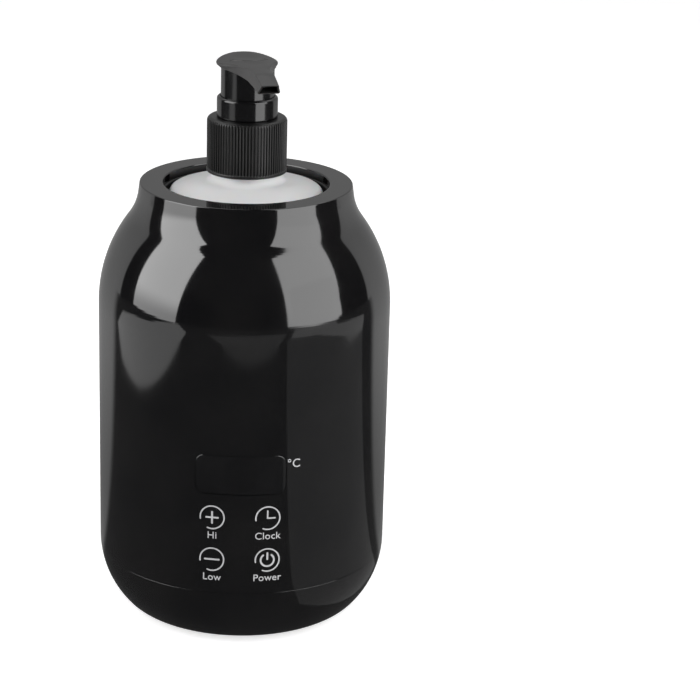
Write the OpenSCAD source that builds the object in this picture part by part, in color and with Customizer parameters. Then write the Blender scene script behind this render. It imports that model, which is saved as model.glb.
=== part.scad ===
// Massage oil warmer: a round heated body with a touch panel, and a pump bottle standing in its well.
// Millimetres. The origin is on the resting surface, under the body's axis. The panel faces -Y.

/* [Body] */
// Radius of the round body
body_r = 50; // [49:0.5:53]
// Height of the rim above the underside
body_h = 151.3; // [149:0.1:156]
// Thickness of the moulded walls
wall = 2.4; // [2:0.1:2.8]
// Distance that the shoulder draws in from the side to the neck
shoulder_step = 13.8; // [12:0.1:15]
// Straight height of the neck under the rim
neck_straight = 1.5; // [1:0.1:3]
// Radius of the shoulder's outward curve
shoulder_convex_r = 52.65; // [48:0.05:58]
// Radius of the shoulder's inward curve
shoulder_concave_r = 16.45; // [14:0.05:20]
// Rounding of the rim's outer edge
rim_edge_r = 0.7; // [0.4:0.1:1.2]
// Depth of the smooth lip inside the rim
rim_lip_h = 3; // [2.6:0.1:4]
// Thickness of that lip
rim_lip_t = 2; // [1.5:0.1:2.6]
// Step from the well's wall out to the rim's opening
rim_step = 0.65; // [0.4:0.05:1]

/* [Base] */
// Height of the seam between shell and base cover, above the underside
seam_h = 21.5; // [19:0.1:23]
// Radius of the lower corner where it leaves the side
corner_side_r = 31.2; // [28:0.1:34]
// Radius of the lower corner where it meets the underside
corner_base_r = 9.5; // [8.5:0.1:10.5]
// Angle at which the corner's two curves meet
corner_turn = 40.5; // [36:0.1:44]
// Height of the lip that locates the shell on the base cover
lip_h = 2; // [1.5:0.1:2.5]
// Thickness of that lip
lip_t = 1.4; // [1:0.1:1.8]
// Width of the shadow line cut into the shell at the seam
seam_groove = 0.4; // [0.2:0.05:0.6]
// Radius of a rubber foot
foot_r = 6; // [5:0.1:7]
// Height that a foot stands proud of the underside
foot_proud = 1.2; // [0.8:0.1:2]
// Depth of a foot's recess
foot_recess = 1; // [0.6:0.1:1.2]
// Distance of a foot's centre inside the edge of the flat underside
foot_inset = 8.3; // [7.5:0.1:11]
// Distance of the base screws from the side
screw_inset = 14; // [13.5:0.1:15]
// Shank radius of a base screw
screw_r = 1.5; // [1.3:0.05:1.7]
// Head radius of a base screw
screw_head_r = 3; // [2.6:0.05:3.2]
// Head height of a base screw
screw_head_h = 2; // [1.5:0.1:2.2]
// Length of a base screw's shank
screw_l = 16; // [12:0.5:18]

/* [Heated well] */
// Gap between the bottle and the well, all round
bottle_gap = 1.5; // [1:0.1:1.8]
// Thickness of the well's sheet metal
well_wall = 0.8; // [0.6:0.1:1.2]
// Width of the flange that hangs the well under the rim
well_flange_w = 3.2; // [2.8:0.1:3.6]
// Height of the ring that carries the well
support_h = 6.6; // [5.5:0.1:8]
// Height of the rim that centres the well in that ring
support_rim_h = 5.8; // [4:0.1:7]
// Thickness of the silicone pad under the bottle
pad_h = 1; // [0.8:0.1:2]
// Thickness of the heater wrapped round the well
heater_t = 1; // [0.6:0.1:1.4]
// Height of the heater
heater_h = 76; // [60:1:80]
// Height of the heater's lower edge above the well's floor
heater_up = 21; // [20:0.5:24]
// Thickness of the insulating sleeve
sleeve_t = 3; // [2:0.1:3.4]
// Height of the insulating sleeve
sleeve_h = 70; // [55:1:72]
// Height of the sleeve's lower edge above the heater's
sleeve_up = 8; // [7:0.5:10]

/* [Front panel] */
// Half width of the display window
window_w = 15.15; // [14:0.05:16]
// Height of the display window's lower edge above the underside
window_low = 57.2; // [55.5:0.1:59]
// Height of the display window
window_h = 13.9; // [12.5:0.1:15]
// Corner radius of the display window
window_corner = 3; // [2:0.1:4]
// Thickness of the display window
window_t = 1.2; // [0.8:0.1:1.6]
// Width of the ledge that carries the display window
window_ledge = 1.2; // [0.8:0.1:1.6]
// Distance of the key columns from the panel's centre line
key_x = 9.5; // [8.5:0.1:10.5]
// Height of the lower key row above the underside
key_low = 33.75; // [32:0.05:35]
// Distance between the key rows
key_pitch = 15.15; // [14:0.05:15.5]
// Radius of a key's touch pad
key_pad_r = 4.2; // [3.5:0.1:4.6]

/* [Electronics] */
// Gap between the board and the shell, at the centre line
board_gap = 7.5; // [7:0.1:8]
// Thickness of the control board
board_t = 1.6; // [1:0.1:2]
// Half width of the control board
board_w = 21; // [20.5:0.1:21.5]
// Height of the board's lower edge above the underside
board_low = 22.4; // [21.6:0.1:24]
// Height of the control board
board_h = 55; // [53:0.5:60]
// Distance of a board screw from the board's edges
board_screw_inset = 3.2; // [3:0.1:3.6]
// Shank radius of a board screw
board_screw_r = 1; // [0.8:0.05:1.1]
// Height of the power inlet above the underside
inlet_h = 33.8; // [32.5:0.1:36]
// Radius of the power inlet's sleeve
inlet_r = 4.9; // [4.5:0.05:5.4]
// Radius of the socket that takes a plug
socket_r = 2.75; // [2.6:0.05:2.9]
// Radius of the socket's centre pin
socket_pin_r = 1.05; // [1:0.05:1.25]
// Depth of the socket
socket_depth = 9.5; // [9:0.1:10]
// Radius of the buzzer
buzzer_r = 5.6; // [4.5:0.1:5.8]
// Height of the buzzer
buzzer_h = 4.6; // [3.5:0.1:5]
// Radius of an insulated lead
lead_r = 0.9; // [0.7:0.05:1.1]

/* [Bottle] */
// Room between the bottle's side and the body's side
bottle_room = 24; // [23.6:0.1:25]
// Thickness of the bottle's wall
bottle_wall = 1.1; // [0.9:0.05:1.3]
// Rounding of the bottle's lower edge
bottle_corner_r = 2.4; // [2:0.1:3]
// Rounding between the bottle's side and its shoulder
bottle_edge_r = 2.6; // [2:0.1:3.2]
// Radius of the shoulder's curve
bottle_shoulder_r = 40; // [36:0.5:46]
// Slope angle at which the edge runs into the shoulder
bottle_edge_turn = 52; // [48:0.5:56]
// Height of the cap's lower edge above the bottle's base
cap_up = 144.5; // [142:0.5:150]
// Outer radius of the bottle's neck
bottle_neck_r = 11.3; // [11.2:0.05:11.6]
// Bore radius of the bottle's neck
bottle_bore_r = 10.4; // [10.2:0.05:10.45]

/* [Pump] */
// Radius over the cap's ribs
cap_r = 13.6; // [13.4:0.05:14.2]
// Height of the cap
cap_h = 18.7; // [17.5:0.1:20]
// Thickness of the cap's top
cap_top_t = 1.6; // [1.2:0.1:1.8]
// Bore radius of the cap
cap_bore_r = 12.2; // [12.1:0.05:12.4]
// Rounding of the cap's upper edge
cap_corner_r = 1.5; // [1:0.1:1.8]
// Number of grip ribs on the cap
cap_ribs = 80; // [60:2:90]
// Depth of a grip rib
cap_rib_depth = 0.4; // [0.25:0.05:0.5]
// Thickness of the gasket on the bottle's neck
gasket_h = 1; // [0.8:0.1:1.4]
// Thickness of the flange that the cap holds down
flange_h = 1; // [0.8:0.1:1.4]
// Outer radius of the collar on the cap
collar_r = 10.25; // [10.2:0.05:10.8]
// Height of the collar above the cap
collar_h = 7; // [6:0.1:8]
// Outer radius of the head's skirt
skirt_r = 8.95; // [8.6:0.05:9]
// Thickness of the head's skirt
skirt_t = 1; // [0.8:0.05:1.2]
// Travel of the head when it is pressed
stroke = 8; // [7:0.1:8.2]
// Bore radius of the pump's barrel
barrel_r = 5.2; // [5:0.05:5.4]
// Thickness of the barrel's wall
barrel_wall = 1; // [0.8:0.05:1.2]
// Length of the barrel below its cup
barrel_l = 34; // [32:0.5:38]
// Length of the piston
piston_l = 5.8; // [5:0.1:7]
// Running clearance of the piston in its barrel
piston_gap = 0.05; // [0.03:0.01:0.08]
// Outer radius of the hollow stem
stem_r = 2.9; // [2.7:0.05:3]
// Bore radius of the hollow stem
stem_bore_r = 1.9; // [1.7:0.05:2]
// Outer radius of the dip tube
dip_tube_r = 2.4; // [2.2:0.05:2.5]
// Bore radius of the dip tube
dip_bore_r = 1.7; // [1.5:0.05:1.8]
// Radius of the inlet valve's ball
inlet_ball_r = 2.4; // [2.2:0.05:2.6]
// Radius of the outlet valve's ball
outlet_ball_r = 1.5; // [1.4:0.05:1.6]
// Wire radius of the return spring
spring_wire_r = 0.4; // [0.3:0.02:0.5]
// Radius of the return spring at the middle of its wire
spring_r = 4; // [3.8:0.05:4.2]
// Number of turns of the return spring
spring_turns = 9; // [6:1:10]

/* [Pump head] */
// Direction of the spout, turned from the front
head_turn = 13; // [-30:1:30]
// Radius of the thumb plate
plate_r = 10.3; // [10:0.05:10.8]
// Distance of the thumb plate's centre behind the stem
plate_back = 1.4; // [0.8:0.1:1.8]
// Height of the thumb plate's underside above the cap's lower edge
plate_up = 35.7; // [35.1:0.1:37]
// Thickness of the thumb plate at its edge
plate_t = 2.9; // [2.4:0.1:3.2]
// Radius of the crown across the head's top
crown_r = 31; // [28:0.5:40]
// Depth of the dish in the thumb plate
dish_depth = 0.6; // [0.3:0.05:0.8]
// Reach of the spout from the stem
spout_reach = 34.6; // [32:0.1:37]
// Half width of the spout at its tip
spout_tip_w = 3.2; // [2.8:0.05:3.5]
// Rise of the spout's back above the thumb plate
spout_rise = 0.05; // [0.02:0.01:0.3]
// Length of the spout's falling end
spout_fall_l = 8.1; // [6:0.1:10]
// Drop of the spout's tip below the thumb plate's top
spout_fall = 2.05; // [1.5:0.05:2.4]
// Drop of the spout's lip below the thumb plate's underside
spout_drop = 2.5; // [1.8:0.1:2.8]
// Height of the flare from the skirt up to the thumb plate's underside
flare_h = 1.1; // [0.8:0.1:1.6]
// Radius of the spout's channel
channel_r = 1.1; // [0.9:0.05:1.2]

/* [Hidden] */
$fn = 96;

// Clearances, and the overshoot of through cuts
fit_gap = 0.1;
loose_gap = 0.3;
cut = 1;

// Heights of the body
base_z = foot_proud;
floor_z = base_z + wall;
seam_z = base_z + seam_h;
rim_z = base_z + body_h;
inner_r = body_r - wall;
neck_r = body_r - shoulder_step;
bottle_r = body_r - bottle_room;
corner_step_r = corner_side_r - corner_base_r;
corner_z = base_z + corner_base_r + corner_step_r * sin(corner_turn);
base_flat_r = body_r - corner_side_r + corner_step_r * cos(corner_turn);
foot_circle_r = base_flat_r - foot_inset;
foot_edge = 0.6;
shoulder_turn = acos(1 - (body_r - neck_r) / (shoulder_convex_r + shoulder_concave_r));
neck_z = rim_z - neck_straight;
shoulder_z = neck_z - (shoulder_convex_r + shoulder_concave_r) * sin(shoulder_turn);

// Stack inside the well, from the base cover up
support_z = floor_z + support_h;
well_floor_z = support_z + well_wall;
bottle_z = well_floor_z + pad_h;
well_top_z = rim_z - rim_lip_h;
well_r = bottle_r + bottle_gap;
well_out_r = well_r + well_wall;
rim_open_r = well_r + rim_step;
heater_z = well_floor_z + heater_up;
heater_r = well_out_r + fit_gap / 2;
sleeve_z = heater_z + sleeve_up;
sleeve_r = heater_r + heater_t + fit_gap / 2;
support_plate_t = 2.4;
support_rim_t = 2.4;

// Screw bosses between shell and base cover
screw_circle_r = body_r - screw_inset;
screw_seat_z = floor_z + screw_head_h;
post_wall = 1.3;
post_top_z = screw_seat_z + 3.4;
boss_wall = 2;
boss_r = screw_r + boss_wall;
boss_rib_t = 2;
boss_rib_h = 5;
boss_rib_gap = 0.5;
boss_rib_z = seam_z + lip_h + boss_rib_gap;
screw_end_room = 1.5;
boss_top_z = boss_rib_z + boss_rib_h;

// Front panel and electronics
window_z = base_z + window_low;
key_rows = [base_z + key_low, base_z + key_low + key_pitch];
board_front = inner_r - board_gap;
board_back = board_front - board_t;
board_z = base_z + board_low;
board_screw_xs = [-board_w + board_screw_inset, board_w - board_screw_inset];
board_screw_zs = [board_z + board_screw_inset, board_z + board_h - board_screw_inset];
board_post_wall = 1.5;
board_post_r = board_screw_r + board_post_wall;
board_screw_l = 3;
board_screw_room = 0.2;
board_screw_head_r = board_screw_r * 2;
board_screw_head_h = 1.5;
inlet_z = base_z + inlet_h;
inlet_collar_w = 2.6;
inlet_collar_r = inlet_r + inlet_collar_w;
inlet_collar_t = 2;
inlet_pad_w = 0.5;
inlet_pad_t = 2.1;
inlet_seat_y = inner_r - inlet_pad_t;
inlet_inset = 0.5;
inlet_face_y = body_r - inlet_inset;
socket_pin_inset = 1;
inlet_body_w = 4.5;
inlet_body_l = 9.5;
inlet_body_y = inlet_seat_y - inlet_collar_t - inlet_body_l;
connector_x = 14;
connector_w = 6;
connector_d = 4;
connector_h = 8;
display_gap = 2.8;
buzzer_x = -11;
buzzer_up = 7.4;
buzzer_z = board_z + buzzer_up;
buzzer_hole_r = 0.8;
buzzer_hole_depth = 1.6;
lead_inset = 5.1;
lead_circle_r = inner_r - lead_inset;
lead_start_in = 6;
lead_pitch = 0.99;
heater_lead_x = 3;
lead_end_turn = acos((connector_x + connector_w + lead_r) / lead_circle_r);
sensor_r = 1.9;
sensor_l = 8;
sensor_up = 1;
sensor_z = support_z + support_rim_h + sensor_up;
sensor_leg_r = 0.3;
sensor_leg_l = 2;
sensor_leg_x = 0.8;

// Bottle
bottle_edge_x = bottle_r - bottle_edge_r;
bottle_dome_x = bottle_edge_x - (bottle_shoulder_r - bottle_edge_r) * cos(bottle_edge_turn);
bottle_dome_drop = (bottle_shoulder_r - bottle_edge_r) * sin(bottle_edge_turn);
cap_z = bottle_z + cap_up;
bottle_neck_z = cap_z - loose_gap;
bottle_dome_z = bottle_neck_z - sqrt(pow(bottle_shoulder_r, 2) - pow(bottle_neck_r - bottle_dome_x, 2));
bottle_edge_z = bottle_dome_z + bottle_dome_drop;

// Pump, from the cap's top down
cap_top_z = cap_z + cap_h;
cap_band_h = 1;
flange_z = cap_top_z - cap_top_t - fit_gap - flange_h;
gasket_z = flange_z - gasket_h;
cup_out_r = bottle_bore_r - fit_gap;
cup_wall = 0.5;
cup_r = cup_out_r - cup_wall;
spigot_r = cup_r - fit_gap;
cap_open_r = spigot_r + loose_gap;
collar_bore_r = skirt_r + 0.25;
collar_z = cap_top_z + 0.2;
collar_top_z = cap_top_z + collar_h;
collar_edge_r = 0.8;
skirt_z = cap_top_z + 0.6;
stop_t = 1;
stop_z = skirt_z - stroke - loose_gap - stop_t;
cup_floor_t = 1.2;
barrel_top_z = stop_z - cup_floor_t;
barrel_low_z = barrel_top_z - barrel_l;
ball_room_r = inlet_ball_r + 0.6;
ball_room_h = 2 * inlet_ball_r - 0.3;
ball_seat_r = inlet_ball_r * 2 / 3;
ball_seat_z = barrel_low_z - ball_room_h;
tail_r = dip_tube_r + 1.2;
tail_l = 12;
dip_top_z = ball_seat_z - 2;
dip_low_z = bottle_z + bottle_wall + 3;
piston_r = barrel_r - piston_gap;
piston_top_z = stop_z - fit_gap;
piston_low_z = piston_top_z - piston_l;
plate_z = cap_z + plate_up;
plate_top_z = plate_z + plate_t;
stem_top_z = plate_z - 4;
stem_seat_z = piston_low_z + 2;
socket_boss_r = stem_r + 1.3;
dish_r = (plate_r * plate_r * 0.55 + dish_depth * dish_depth) / (2 * dish_depth);
spout_tip_z = plate_top_z - spout_fall;
spout_lip_z = plate_z - spout_drop;
spout_cut_back = 2.9;
spout_root = 2;
spout_brow = 2.2;
flare_z = plate_z - flare_h;
flare_inset = 0.4;
flare_rise = 0.3;
plate_low_edge = 0.9;
spout_end = [spout_reach - spout_cut_back / 2, (spout_tip_z + spout_lip_z) / 2];
channel_route = [
    [0, plate_z - 0.8], [skirt_r + 1.2, plate_z + 0.8], [spout_reach * 0.62, plate_z + 1],
    spout_end + [2, -0.6]
];

function bezier(p0, p1, p2, steps) =
    [for (i = [0:steps]) let (t = i / steps) (1 - t) * (1 - t) * p0 + 2 * t * (1 - t) * p1 + t * t * p2];

// A rectangle from the axis out to r, between two heights
module slab(r, z0, z1) {
    translate([0, z0]) square([r, z1 - z0]);
}

// A ring's section between two radii and two heights
module band(r0, r1, z0, z1) {
    translate([r0, z0]) square([r1 - r0, z1 - z0]);
}

// The part of a disc that lies between two heights, on the outer side of the axis
module disc_slice(r, x, z, z0, z1) {
    intersection() {
        translate([x, z]) circle(r = r);
        slab(x + r + cut, z0, z1);
    }
}

module rounded_rect(w, h, r) {
    translate([-w / 2 + r, 0]) square([w - 2 * r, h]);
    translate([-w / 2, r]) square([w, h - 2 * r]);
    for (x = [-w / 2 + r, w / 2 - r]) {
        for (y = [r, h - r]) {
            translate([x, y]) circle(r = r);
        }
    }
}

// Copies set evenly round the axis
module around(count, radius, start) {
    for (i = [0:count - 1]) {
        rotate([0, 0, start + i * 360 / count]) translate([radius, 0, 0]) children();
    }
}

module tube(r_out, r_in, z0, z1) {
    rotate_extrude() band(r_in, r_out, z0, z1);
}

// A cylinder that runs towards the front, from y0 to y1
module front_rod(r, x, z, y0, y1) {
    translate([x, -y0, z]) rotate([90, 0, 0]) cylinder(r = r, h = y1 - y0);
}

// Half section of the body up to its rim, moved inwards by inset
module body_profile(inset) {
    corner_join_z = base_z + corner_base_r - (corner_base_r - inset) * sin(corner_turn);
    crease_z = shoulder_z + (shoulder_convex_r - inset) * sin(shoulder_turn);
    crease_r = body_r - shoulder_convex_r + (shoulder_convex_r - inset) * cos(shoulder_turn);
    top_z = rim_z - inset;
    edge_r = max(rim_edge_r - inset, 0.1);
    slab(base_flat_r, base_z + inset, corner_join_z);
    disc_slice(corner_base_r - inset, base_flat_r, base_z + corner_base_r, base_z + inset, corner_join_z);
    slab(body_r - corner_side_r, corner_join_z, corner_z);
    disc_slice(corner_side_r - inset, body_r - corner_side_r, corner_z, corner_join_z, corner_z);
    slab(body_r - inset, corner_z, shoulder_z);
    if (body_r > shoulder_convex_r) slab(body_r - shoulder_convex_r, shoulder_z, crease_z);
    disc_slice(shoulder_convex_r - inset, body_r - shoulder_convex_r, shoulder_z, shoulder_z - cut, crease_z);
    difference() {
        slab(crease_r, crease_z, neck_z);
        translate([neck_r + shoulder_concave_r, neck_z]) circle(r = shoulder_concave_r + inset);
    }
    if (top_z > neck_z) {
        slab(neck_r - inset, neck_z, top_z - edge_r);
        slab(neck_r - inset - edge_r, neck_z, top_z);
        translate([neck_r - inset - edge_r, top_z - edge_r]) circle(r = edge_r);
    }
}

// Walls of the shell and of the base cover, before their bosses and cuts
module shell_section() {
    difference() {
        intersection() {
            body_profile(0);
            slab(body_r + cut, seam_z, rim_z + cut);
        }
        intersection() {
            body_profile(wall);
            slab(body_r, base_z, rim_z - wall);
        }
        slab(rim_open_r, seam_z - cut, rim_z + cut);
        polygon([
            [body_r - seam_groove, seam_z - cut], [body_r - seam_groove, seam_z],
            [body_r + cut, seam_z + seam_groove + cut], [body_r + cut, seam_z - cut]
        ]);
    }
    band(rim_open_r, rim_open_r + rim_lip_t, well_top_z, rim_z - wall / 2);
}

module cover_section() {
    difference() {
        intersection() {
            body_profile(0);
            slab(body_r + cut, base_z - cut, seam_z);
        }
        body_profile(wall);
    }
    lip_r = inner_r - fit_gap;
    band(lip_r - lip_t, lip_r, seam_z - lip_h, seam_z + lip_h);
    band(lip_r - lip_t, inner_r + wall / 2, seam_z - lip_h, seam_z - wall / 4);
}

module window_outline(shrink) {
    translate([0, window_z + shrink])
        rounded_rect(2 * (window_w - shrink), window_h - 2 * shrink, window_corner - shrink);
}

// The window's outline, run forwards from the axis and kept outside radius r
module window_block(shrink, r) {
    difference() {
        rotate([90, 0, 0]) linear_extrude(height = body_r + cut) window_outline(shrink);
        translate([0, 0, window_z - cut]) cylinder(r = r, h = window_h + 2 * cut);
    }
}

module outer_shell() {
    color("#151516") difference() {
        union() {
            rotate_extrude() shell_section();
            around(4, screw_circle_r, 45) {
                translate([0, 0, post_top_z + fit_gap]) cylinder(r = boss_r, h = boss_top_z - post_top_z);
                translate([0, -boss_rib_t / 2, boss_rib_z])
                    cube([screw_inset - wall / 2, boss_rib_t, boss_top_z - boss_rib_z]);
            }
            intersection() {
                union() {
                    for (x = board_screw_xs) {
                        for (z = board_screw_zs) front_rod(board_post_r, x, z, board_front, body_r);
                    }
                    translate([0, body_r, inlet_z]) rotate([90, 0, 0])
                        cylinder(r = inlet_collar_r + inlet_pad_w, h = body_r - inlet_seat_y);
                }
                cylinder(r = body_r - wall / 2, h = rim_z);
            }
        }
        around(4, screw_circle_r, 45)
            translate([0, 0, floor_z])
                cylinder(r = screw_r + fit_gap / 2, h = boss_top_z - floor_z - screw_end_room);
        window_block(0, body_r - window_t);
        window_block(window_ledge, body_r - 2 * wall);
        for (x = board_screw_xs) {
            for (z = board_screw_zs)
                front_rod(board_screw_r + fit_gap / 2, x, z, board_front - cut,
                    board_front + board_screw_l + board_screw_room);
        }
        translate([0, body_r + cut, inlet_z]) rotate([90, 0, 0])
            cylinder(r = inlet_r + fit_gap, h = body_r - inlet_seat_y + 2 * cut);
    }
}

module base_cover() {
    color("#18181a") difference() {
        union() {
            rotate_extrude() cover_section();
            intersection() {
                around(4, screw_circle_r, 45) cylinder(r = screw_head_r + post_wall, h = post_top_z);
                rotate_extrude() body_profile(wall / 2);
            }
        }
        around(4, screw_circle_r, 45) {
            translate([0, 0, -cut]) cylinder(r = screw_head_r + loose_gap, h = screw_seat_z + cut);
            cylinder(r = screw_r + 2 * fit_gap, h = post_top_z + cut);
        }
        around(4, foot_circle_r, 0) cylinder(r = foot_r + fit_gap, h = base_z + foot_recess);
    }
}

module rubber_feet() {
    foot_h = foot_proud + foot_recess;
    color("#2a2a2a") around(4, foot_circle_r, 0) {
        cylinder(r1 = foot_r - foot_edge, r2 = foot_r, h = foot_edge);
        translate([0, 0, foot_edge]) cylinder(r = foot_r, h = foot_h - foot_edge);
    }
}

module base_screws() {
    color("silver") around(4, screw_circle_r, 45) difference() {
        union() {
            translate([0, 0, screw_seat_z - screw_head_h]) cylinder(r = screw_head_r, h = screw_head_h);
            translate([0, 0, screw_seat_z]) cylinder(r = screw_r, h = screw_l);
        }
        for (turn = [0, 90]) {
            rotate([0, 0, turn]) translate([-screw_head_r * 0.6, -0.4, screw_seat_z - screw_head_h - cut])
                cube([screw_head_r * 1.2, 0.8, cut + 1]);
        }
    }
}

module heating_well() {
    corner = 2;
    bend_z = support_z + corner;
    color("#b9bcc0") rotate_extrude() {
        difference() {
            union() {
                slab(well_out_r, bend_z, well_top_z);
                slab(well_out_r - corner, support_z, bend_z);
                disc_slice(corner, well_out_r - corner, bend_z, support_z, bend_z);
                slab(well_r + well_flange_w, well_top_z - well_wall, well_top_z);
            }
            slab(well_r, well_floor_z + corner - well_wall, well_top_z + cut);
            slab(well_out_r - corner, well_floor_z, well_top_z);
            disc_slice(corner - well_wall, well_out_r - corner, bend_z, well_floor_z, bend_z);
        }
    }
}

module well_support() {
    rim_in = well_out_r + loose_gap / 2;
    leg_in = well_out_r - 3;
    color("#3a3a3c") difference() {
        rotate_extrude() {
            band(leg_in - 4, rim_in + support_rim_t, support_z - support_plate_t, support_z);
            band(rim_in, rim_in + support_rim_t, support_z - support_plate_t, support_z + support_rim_h);
            band(leg_in, leg_in + 2, floor_z, support_z - support_plate_t / 2);
        }
        around(6, leg_in + 1, 30) translate([-2, -4, floor_z - cut])
            cube([4, 8, support_h - support_plate_t - 1 + cut]);
    }
}

module bottle_pad() {
    color("#8d8d90") translate([0, 0, well_floor_z]) difference() {
        cylinder(r = bottle_r - 0.5, h = pad_h);
        translate([0, 0, -cut]) cylinder(r = bottle_r / 3, h = pad_h + 2 * cut);
    }
}

module heater_band() {
    color("#b5622a") rotate([0, 0, 100]) rotate_extrude(angle = 340)
        band(heater_r, heater_r + heater_t, heater_z, heater_z + heater_h);
}

module insulation_sleeve() {
    color("#d8d5cb") tube(sleeve_r + sleeve_t, sleeve_r, sleeve_z, sleeve_z + sleeve_h);
}

// A round probe that stands against the well, with two short legs
module well_probe(turn, length) {
    rotate([0, 0, turn]) translate([well_out_r + sensor_r + fit_gap / 2, 0, sensor_z]) {
        cylinder(r = sensor_r, h = length - sensor_r);
        translate([0, 0, length - sensor_r]) sphere(r = sensor_r);
        for (y = [-sensor_leg_x, sensor_leg_x])
            translate([0, y, length - cut]) cylinder(r = sensor_leg_r, h = sensor_leg_l + cut);
    }
}

module temperature_sensor() {
    color("#3c6e47") well_probe(200, sensor_l);
}

module thermal_fuse() {
    color("#c9c9c2") well_probe(-20, sensor_l + 1);
}

module control_board() {
    color("#1f5a36") difference() {
        union() {
            translate([-board_w, -board_front, board_z]) cube([2 * board_w, board_t, board_h]);
            translate([connector_x, -board_back - fit_gap, inlet_z - connector_h / 2])
                cube([connector_w, connector_d + fit_gap, connector_h]);
            translate([-12, -board_back - fit_gap, board_z + board_h * 0.62]) cube([9, 1.4 + fit_gap, 9]);
            translate([-16, -board_back - fit_gap, board_z + board_h * 0.3]) cube([8, 2.6 + fit_gap, 6]);
        }
        for (x = board_screw_xs) {
            for (z = board_screw_zs)
                front_rod(board_screw_r + board_screw_room, x, z, board_back - cut, board_front + cut);
        }
    }
}

module board_screws() {
    color("silver") for (x = board_screw_xs) {
        for (z = board_screw_zs) {
            front_rod(board_screw_head_r, x, z, board_back - board_screw_head_h, board_back);
            front_rod(board_screw_r, x, z, board_back, board_front + board_screw_l);
        }
    }
}

module display_module() {
    shrink = window_ledge + loose_gap;
    depth = body_r - window_t - display_gap - board_front;
    color("#232326") translate([0, -board_front, window_z + shrink]) rotate([90, 0, 0])
        linear_extrude(height = depth) translate([-window_w + shrink, 0])
            square([2 * (window_w - shrink), window_h - 2 * shrink]);
}

module display_window() {
    color("#0c0c0e") intersection() {
        window_block(fit_gap, body_r - window_t);
        translate([0, 0, window_z]) cylinder(r = body_r, h = window_h);
    }
}

module touch_pads() {
    color("#4a4a4c") intersection() {
        union() {
            for (x = [-key_x, key_x]) {
                for (z = key_rows) front_rod(key_pad_r, x, z, board_front, body_r);
            }
        }
        cylinder(r = inner_r - fit_gap, h = rim_z);
    }
}

module buzzer() {
    color("#101012") difference() {
        front_rod(buzzer_r, buzzer_x, buzzer_z, board_back - buzzer_h, board_back);
        front_rod(buzzer_hole_r, buzzer_x, buzzer_z, board_back - buzzer_h - cut,
            board_back - buzzer_h + buzzer_hole_depth);
    }
}

module power_inlet() {
    seat = inlet_face_y - inlet_seat_y;
    color("#1b1b1d") translate([0, inlet_face_y, inlet_z]) rotate([90, 0, 0]) difference() {
        union() {
            cylinder(r = inlet_r, h = seat + cut);
            translate([0, 0, seat]) cylinder(r = inlet_collar_r, h = inlet_collar_t);
            translate([-inlet_body_w, -inlet_body_w, seat + inlet_collar_t - cut])
                cube([2 * inlet_body_w, 2 * inlet_body_w, inlet_body_l + cut]);
        }
        difference() {
            translate([0, 0, -cut]) cylinder(r = socket_r, h = socket_depth + cut);
            translate([0, 0, socket_pin_inset]) cylinder(r = socket_pin_r, h = socket_depth);
        }
    }
}

// Two leads that run from the inlet round the inside to the board's connector
module power_leads() {
    start_y = inlet_body_y + lead_start_in;
    start_turn = asin(start_y / lead_circle_r);
    start_x = lead_circle_r * cos(start_turn);
    color("#a02020") for (step = [-lead_pitch, lead_pitch]) {
        translate([0, 0, inlet_z + step]) {
            rotate([0, 0, -lead_end_turn]) rotate_extrude(angle = start_turn + lead_end_turn)
                translate([lead_circle_r, 0]) circle(r = lead_r);
            translate([inlet_body_w + fit_gap, start_y, 0]) rotate([0, 90, 0])
                cylinder(r = lead_r, h = start_x - inlet_body_w);
        }
    }
}

module heater_leads() {
    lead_z = heater_z + sleeve_up / 2;
    color("#c8b9a0") difference() {
        for (x = [-heater_lead_x, heater_lead_x])
            front_rod(lead_r, x, lead_z, heater_r, board_back - fit_gap);
        translate([0, 0, lead_z - 5]) cylinder(r = heater_r + heater_t + fit_gap, h = 10);
    }
}

// Half section of the bottle up to its neck, moved inwards by inset
module bottle_profile(inset, neck) {
    dome_low_z = bottle_edge_z + (bottle_edge_r - inset) * sin(bottle_edge_turn);
    corner_top_z = bottle_z + bottle_corner_r;
    slab(bottle_r - bottle_corner_r, bottle_z + inset, corner_top_z);
    disc_slice(bottle_corner_r - inset, bottle_r - bottle_corner_r, corner_top_z, bottle_z + inset,
        corner_top_z);
    slab(bottle_r - inset, corner_top_z, bottle_edge_z);
    slab(bottle_edge_x, bottle_edge_z, dome_low_z);
    disc_slice(bottle_edge_r - inset, bottle_edge_x, bottle_edge_z, bottle_edge_z, dome_low_z);
    disc_slice(bottle_shoulder_r - inset, bottle_dome_x, bottle_dome_z, dome_low_z, bottle_neck_z - inset);
    slab(neck, dome_low_z, gasket_z);
}

module bottle() {
    color("#ececee") rotate_extrude() difference() {
        bottle_profile(0, bottle_neck_r);
        bottle_profile(bottle_wall, bottle_bore_r);
    }
}

module neck_gasket() {
    color("#bcbcbc") tube(bottle_neck_r, bottle_bore_r, gasket_z, flange_z);
}

// Plan of the ribbed grip: each rib is a flat-topped tooth
module rib_plan() {
    pitch = 360 / cap_ribs;
    tip_r = cap_r - fit_gap;
    root_r = tip_r - cap_rib_depth;
    polygon([
        for (i = [0:cap_ribs - 1])
            for (tooth = [[0, root_r], [0.3, root_r], [0.45, tip_r], [0.85, tip_r]])
                tooth[1] * [cos((i + tooth[0]) * pitch), sin((i + tooth[0]) * pitch)]
    ]);
}

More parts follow.
